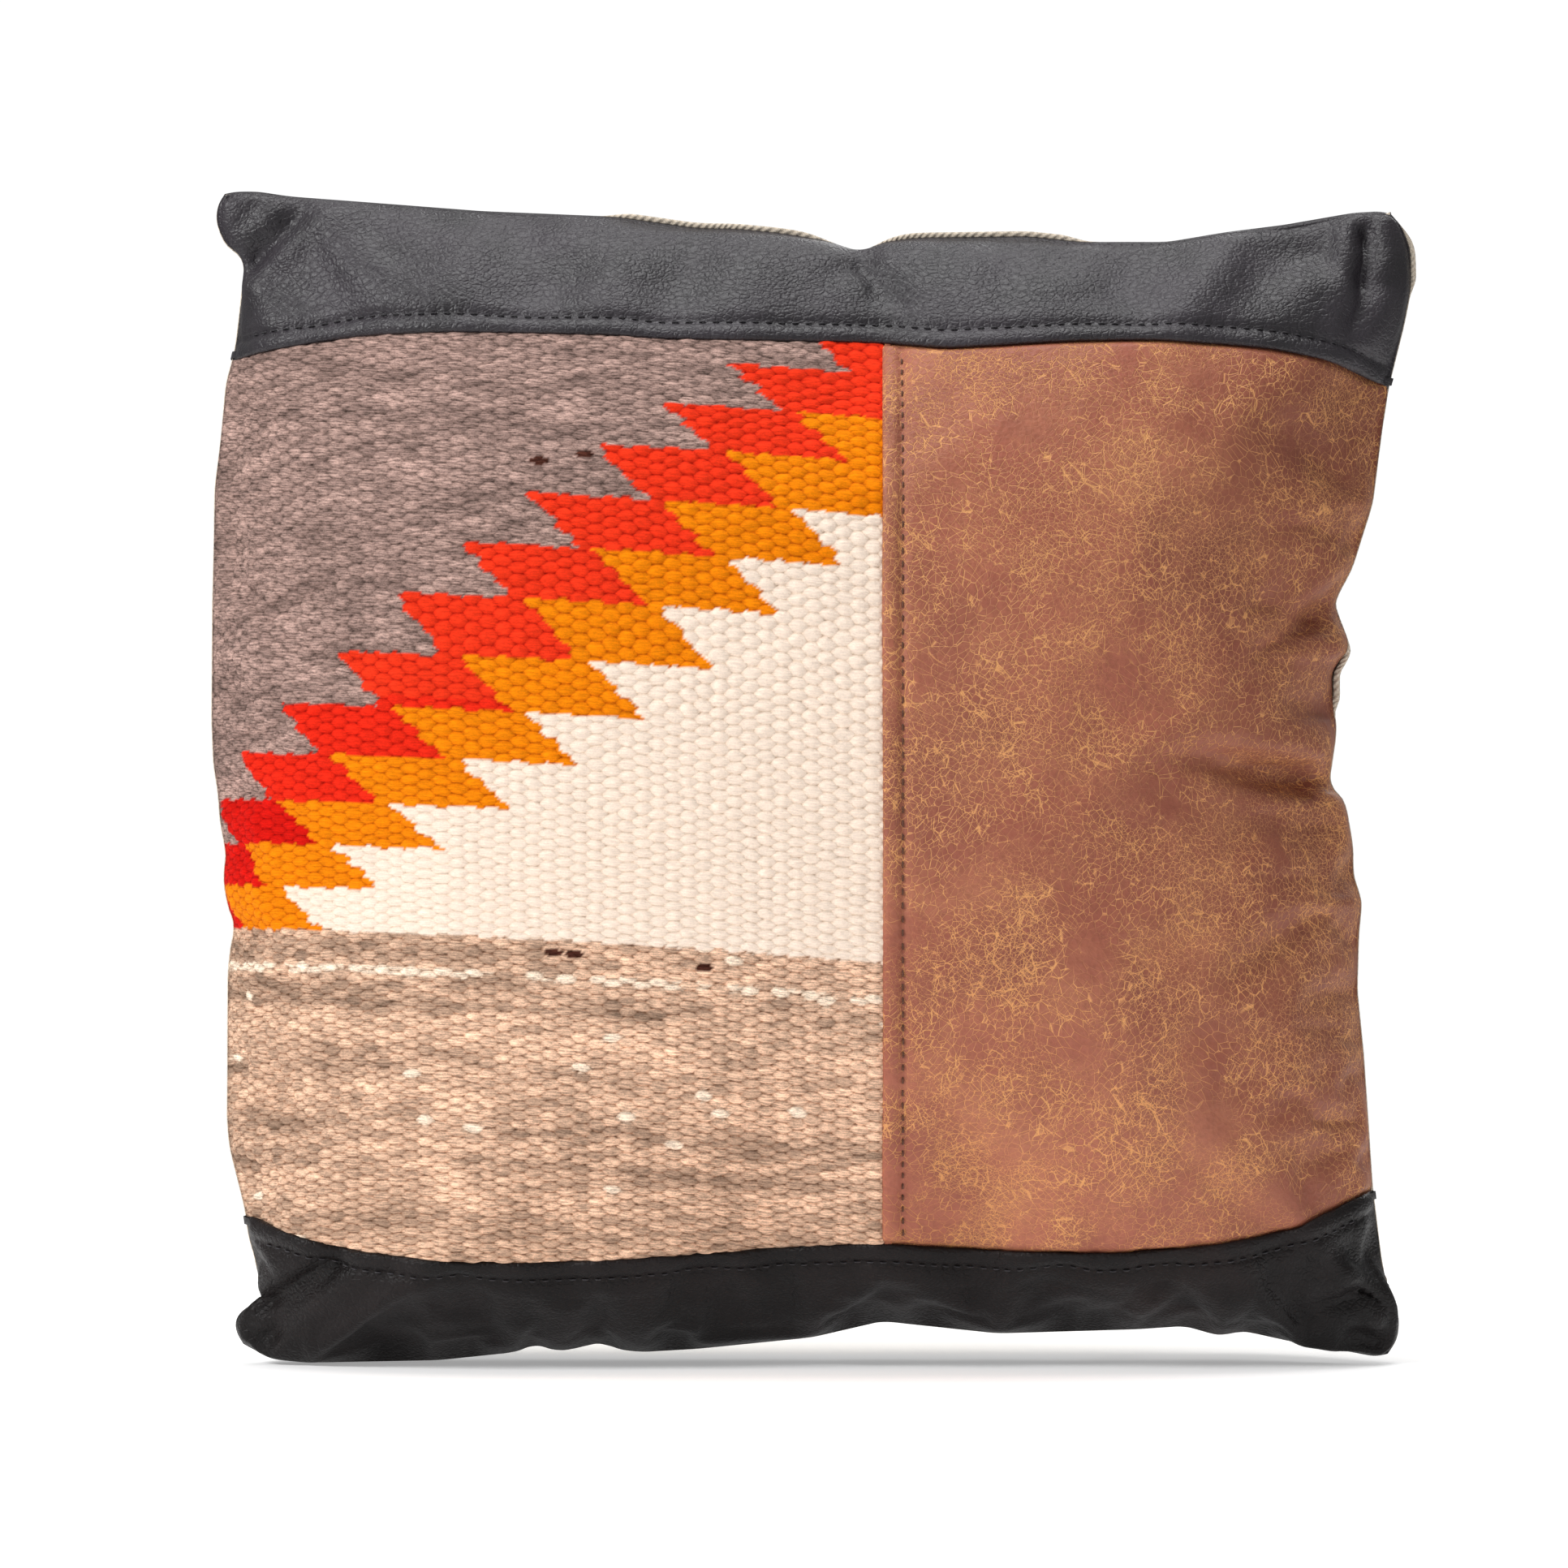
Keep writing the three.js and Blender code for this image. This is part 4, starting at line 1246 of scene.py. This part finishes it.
def zip_metal(name, plates, offset=0.0, rounding=0.22):
    """A metal part made of plates, with its edges worn round."""
    made = [plate(*each, offset) for each in plates]
    for part in made:
        part.select_set(True)
    bpy.context.view_layer.objects.active = made[0]
    if len(made) > 1:
        bpy.ops.object.join()
    piece = made[0]
    piece.name = piece.data.name = name
    edge = piece.modifiers.new("worn_edges", "BEVEL")
    edge.width, edge.segments, edge.limit_method = rounding * MM, 2, "ANGLE"
    edge.angle_limit = math.radians(35)
    bpy.ops.object.modifier_apply(modifier=edge.name)
    return piece


def ring_outline(cx, cz, r, count=14):
    a = np.linspace(0, 2 * math.pi, count, endpoint=False)
    return [(cx + r * math.cos(t), cz + r * math.sin(t)) for t in a]


def slider():
    """Two wings held apart by a post, their turned-in lips, and the arch that the tab hangs on."""
    wing = [(-6.2, -3.9), (-4.5, -4.6), (-1.0, -4.9), (2.0, -5.0), (4.4, -4.4), (5.9, -3.1), (6.3, -1.2),
            (6.3, 1.2), (5.9, 3.1), (4.4, 4.4), (2.0, 5.0), (-1.0, 4.9), (-4.5, 4.6), (-6.2, 3.9)]
    lip = [(-6.0, 4.1), (-3.0, 4.5), (2.0, 4.9), (3.4, 4.6), (3.2, 4.1), (-6.0, 3.6)]
    lips = [[(a, s * b) for a, b in lip] for s in (1, -1)]
    parts = [(wing, 1.62, 2.5, "n"), (wing, -2.5, -1.62, "n")]
    parts += [(edge, 0.95, 1.7, "n") for edge in lips] + [(edge, -1.7, -0.95, "n") for edge in lips]
    parts.append(([(3.7, -0.28), (5.0, -0.28), (5.0, 0.28), (3.7, 0.28)], -1.7, 1.7, "n"))
    arch = [(-4.6, 2.4), (-4.4, 4.6), (-3.4, 6.0), (-1.6, 6.5), (1.6, 6.5), (3.4, 6.0), (4.4, 4.6),
            (4.6, 2.4), (3.5, 2.4), (3.3, 4.4), (2.5, 5.4), (1.2, 5.75), (-1.2, 5.75), (-2.5, 5.4),
            (-3.3, 4.4), (-3.5, 2.4)]
    parts.append((arch, -0.85, 0.85, "w"))
    return zip_metal("zip_slider_metal", parts, SLIDER_X)


def pull_tab():
    """The tab's pin, its two side bars, and its grip with a thicker middle."""
    h = HINGE_OUT
    parts = [(ring_outline(0, h, 0.55), -2.35, 2.35, "w")]
    for s in (1, -1):
        bar = [(-0.75, h - 1.0), (0.75, h - 1.0), (0.75, h + 7.0), (-0.75, h + 7.0)]
        parts.append((bar, s * 1.45, s * 2.35, "w"))
    grip = [(h + 5.8, -2.4), (h + 6.8, -3.1), (h + 15.5, -3.4), (h + 18.2, -2.9), (h + 19.8, -1.5),
            (h + 20.1, 0.0), (h + 19.8, 1.5), (h + 18.2, 2.9), (h + 15.5, 3.4), (h + 6.8, 3.1),
            (h + 5.8, 2.4)]
    parts.append((grip, -0.6, 0.6, "x"))
    lip = [(h + 15.2, -2.4), (h + 17.6, -1.9), (h + 18.6, 0), (h + 17.6, 1.9), (h + 15.2, 2.4)]
    parts.append((lip, -0.85, 0.85, "x"))
    return zip_metal("zip_pull_tab_metal", parts, SLIDER_X, 0.25)


def stop(name, x, low, high):
    """A stop clamped over the coils' ends, 4 mm long."""
    outline = [(x, low), (x + 4.0, low), (x + 4.0, high), (x, high)]
    return zip_metal(name, [(outline, -1.35, 1.35, "n")], 0.0, 0.4)


twill = plain_cloth_finish("zip_twill", (0.030, 0.027, 0.027), 0.0009)
lining = plain_cloth_finish("casing_cloth", (0.80, 0.79, 0.76), 0.0008)
dull_metal = metal_finish()
coil_yarn = Finish("coil_yarn", {"Base Color": (0.022, 0.020, 0.020, 1), "Roughness": 0.42}).material
fibre = Finish("white_fibre", {"Base Color": (0.86, 0.86, 0.85, 1), "Roughness": 0.95})
fibre.bump(fibre.noise(fibre.place(), 260, 4.0, 0.7), 0.002, 0.8)

inner_front, inner_back = casing_half("front"), casing_half("back")
stuffing = filling()
wear(inner_front, lining, "cover", ["insert_casing_front"])
wear(inner_back, lining, "cover", ["insert_casing_back"])
wear(stuffing, fibre.material, "cover", ["fibre_fill"])
for side, word in ((1, "upper"), (-1, "lower")):
    wear(tape("zip_tape_" + word + "_twill", side), twill, "cover", ["zip_tape_" + word])
    wear(coil("zip_coil_" + word, side), coil_yarn, "cover", ["zip_teeth_" + word])
for node, *place in (("zip_top_stop_upper", 134.2, 0.6, 2.8), ("zip_top_stop_lower", 134.2, -2.8, -0.6),
                     ("zip_bottom_stop", -138.2, -2.8, 2.8)):
    wear(stop(node + "_metal", *place), dull_metal, "cover", [node])
wear(slider(), dull_metal, "slider", ["zip_slider"])
wear(pull_tab(), dull_metal, "pull_tab", ["zip_pull_tab"])
row_u = np.linspace(-0.66, 0.66, 400)
low_slit, high_slit = slit_edges(row_u)
for word, row_v in (("upper", high_slit + 3.0 / HIGH), ("lower", low_slit - 3.0 / HIGH)):
    wear(stitches("zip_stitches_" + word, BACK, np.stack([row_u, row_v], 1), 0.25, 0.35),
         black_thread, "cover", ["zip_stitch_" + word])


# ---------------------------------------------------------------- light, floor and camera

def soft_light(name, place, aim, size, power):
    """A round soft light, with its places and size in metres and its power in watts."""
    data = bpy.data.lights.new(name, "AREA")
    data.shape, data.size, data.energy = "DISK", size, power
    lamp = bpy.data.objects.new(name, data)
    bpy.context.scene.collection.objects.link(lamp)
    lamp.location = place
    lamp.rotation_euler = (Vector(aim) - Vector(place)).to_track_quat("-Z", "Y").to_euler()


def floor():
    """A plain pale floor that fades out round the pillow."""
    reach = 1300
    corners = [(x * reach, y * reach, 0) for x, y in ((-1, -1), (1, -1), (1, 1), (-1, 1))]
    ground = shown_mesh("pale_floor", corners, [(0, 1, 2, 3)])
    paper = Finish("pale_paper", {"Base Color": (0.93, 0.93, 0.93, 1), "Roughness": 0.95,
                                  "Specular IOR Level": 0.1, "Emission Color": (1, 1, 1, 1),
                                  "Emission Strength": 0.3})
    apart = paper.node("VectorMath", {"operation": "LENGTH"}, {0: paper.place()}, out="Value")
    paper.drive("Alpha", 1 - apart.ramp(0.5, 1.2))
    ground.data.materials.append(paper.material)


floor()
soft_light("window_left", (-2.0, -1.45, 1.75), (0, 0, 0.2), 1.0, 56)
soft_light("window_right", (1.8, -1.6, 1.2), (0, 0, 0.2), 1.4, 1.5)
soft_light("window_behind", (0.9, 2.2, 1.8), (0, 0, 0.2), 1.6, 22)
soft_light("overhead", (0.0, 0.0, 2.3), (0, 0, 0.3), 1.4, 26)
world = bpy.data.worlds.new("pale_room")
world.use_nodes = True
sky = world.node_tree
dim, bright = sky.nodes["Background"], sky.nodes.new("ShaderNodeBackground")
for room, strength in ((dim, 0.32), (bright, 1.05)):
    room.inputs["Color"].default_value = (1, 1, 1, 1)
    room.inputs["Strength"].default_value = strength
# The room lights the pillow with the dim one, and shows the bright one behind it.
choice, path = sky.nodes.new("ShaderNodeMixShader"), sky.nodes.new("ShaderNodeLightPath")
sky.links.new(path.outputs["Is Camera Ray"], choice.inputs[0])
sky.links.new(dim.outputs[0], choice.inputs[1])
sky.links.new(bright.outputs[0], choice.inputs[2])
sky.links.new(choice.outputs[0], sky.nodes["World Output"].inputs[0])
bpy.context.scene.world = world
bpy.context.scene.view_settings.view_transform = "Standard"

lens = bpy.data.cameras.new("eye")
lens.sensor_width = 36.0
lens.lens = lens.sensor_width * -EYE[1] / VIEW_WIDTH
camera = bpy.data.objects.new("eye", lens)
camera.location = [c * MM for c in EYE]
camera.rotation_euler = (math.pi / 2, 0, 0)
bpy.context.scene.collection.objects.link(camera)
bpy.context.scene.camera = camera
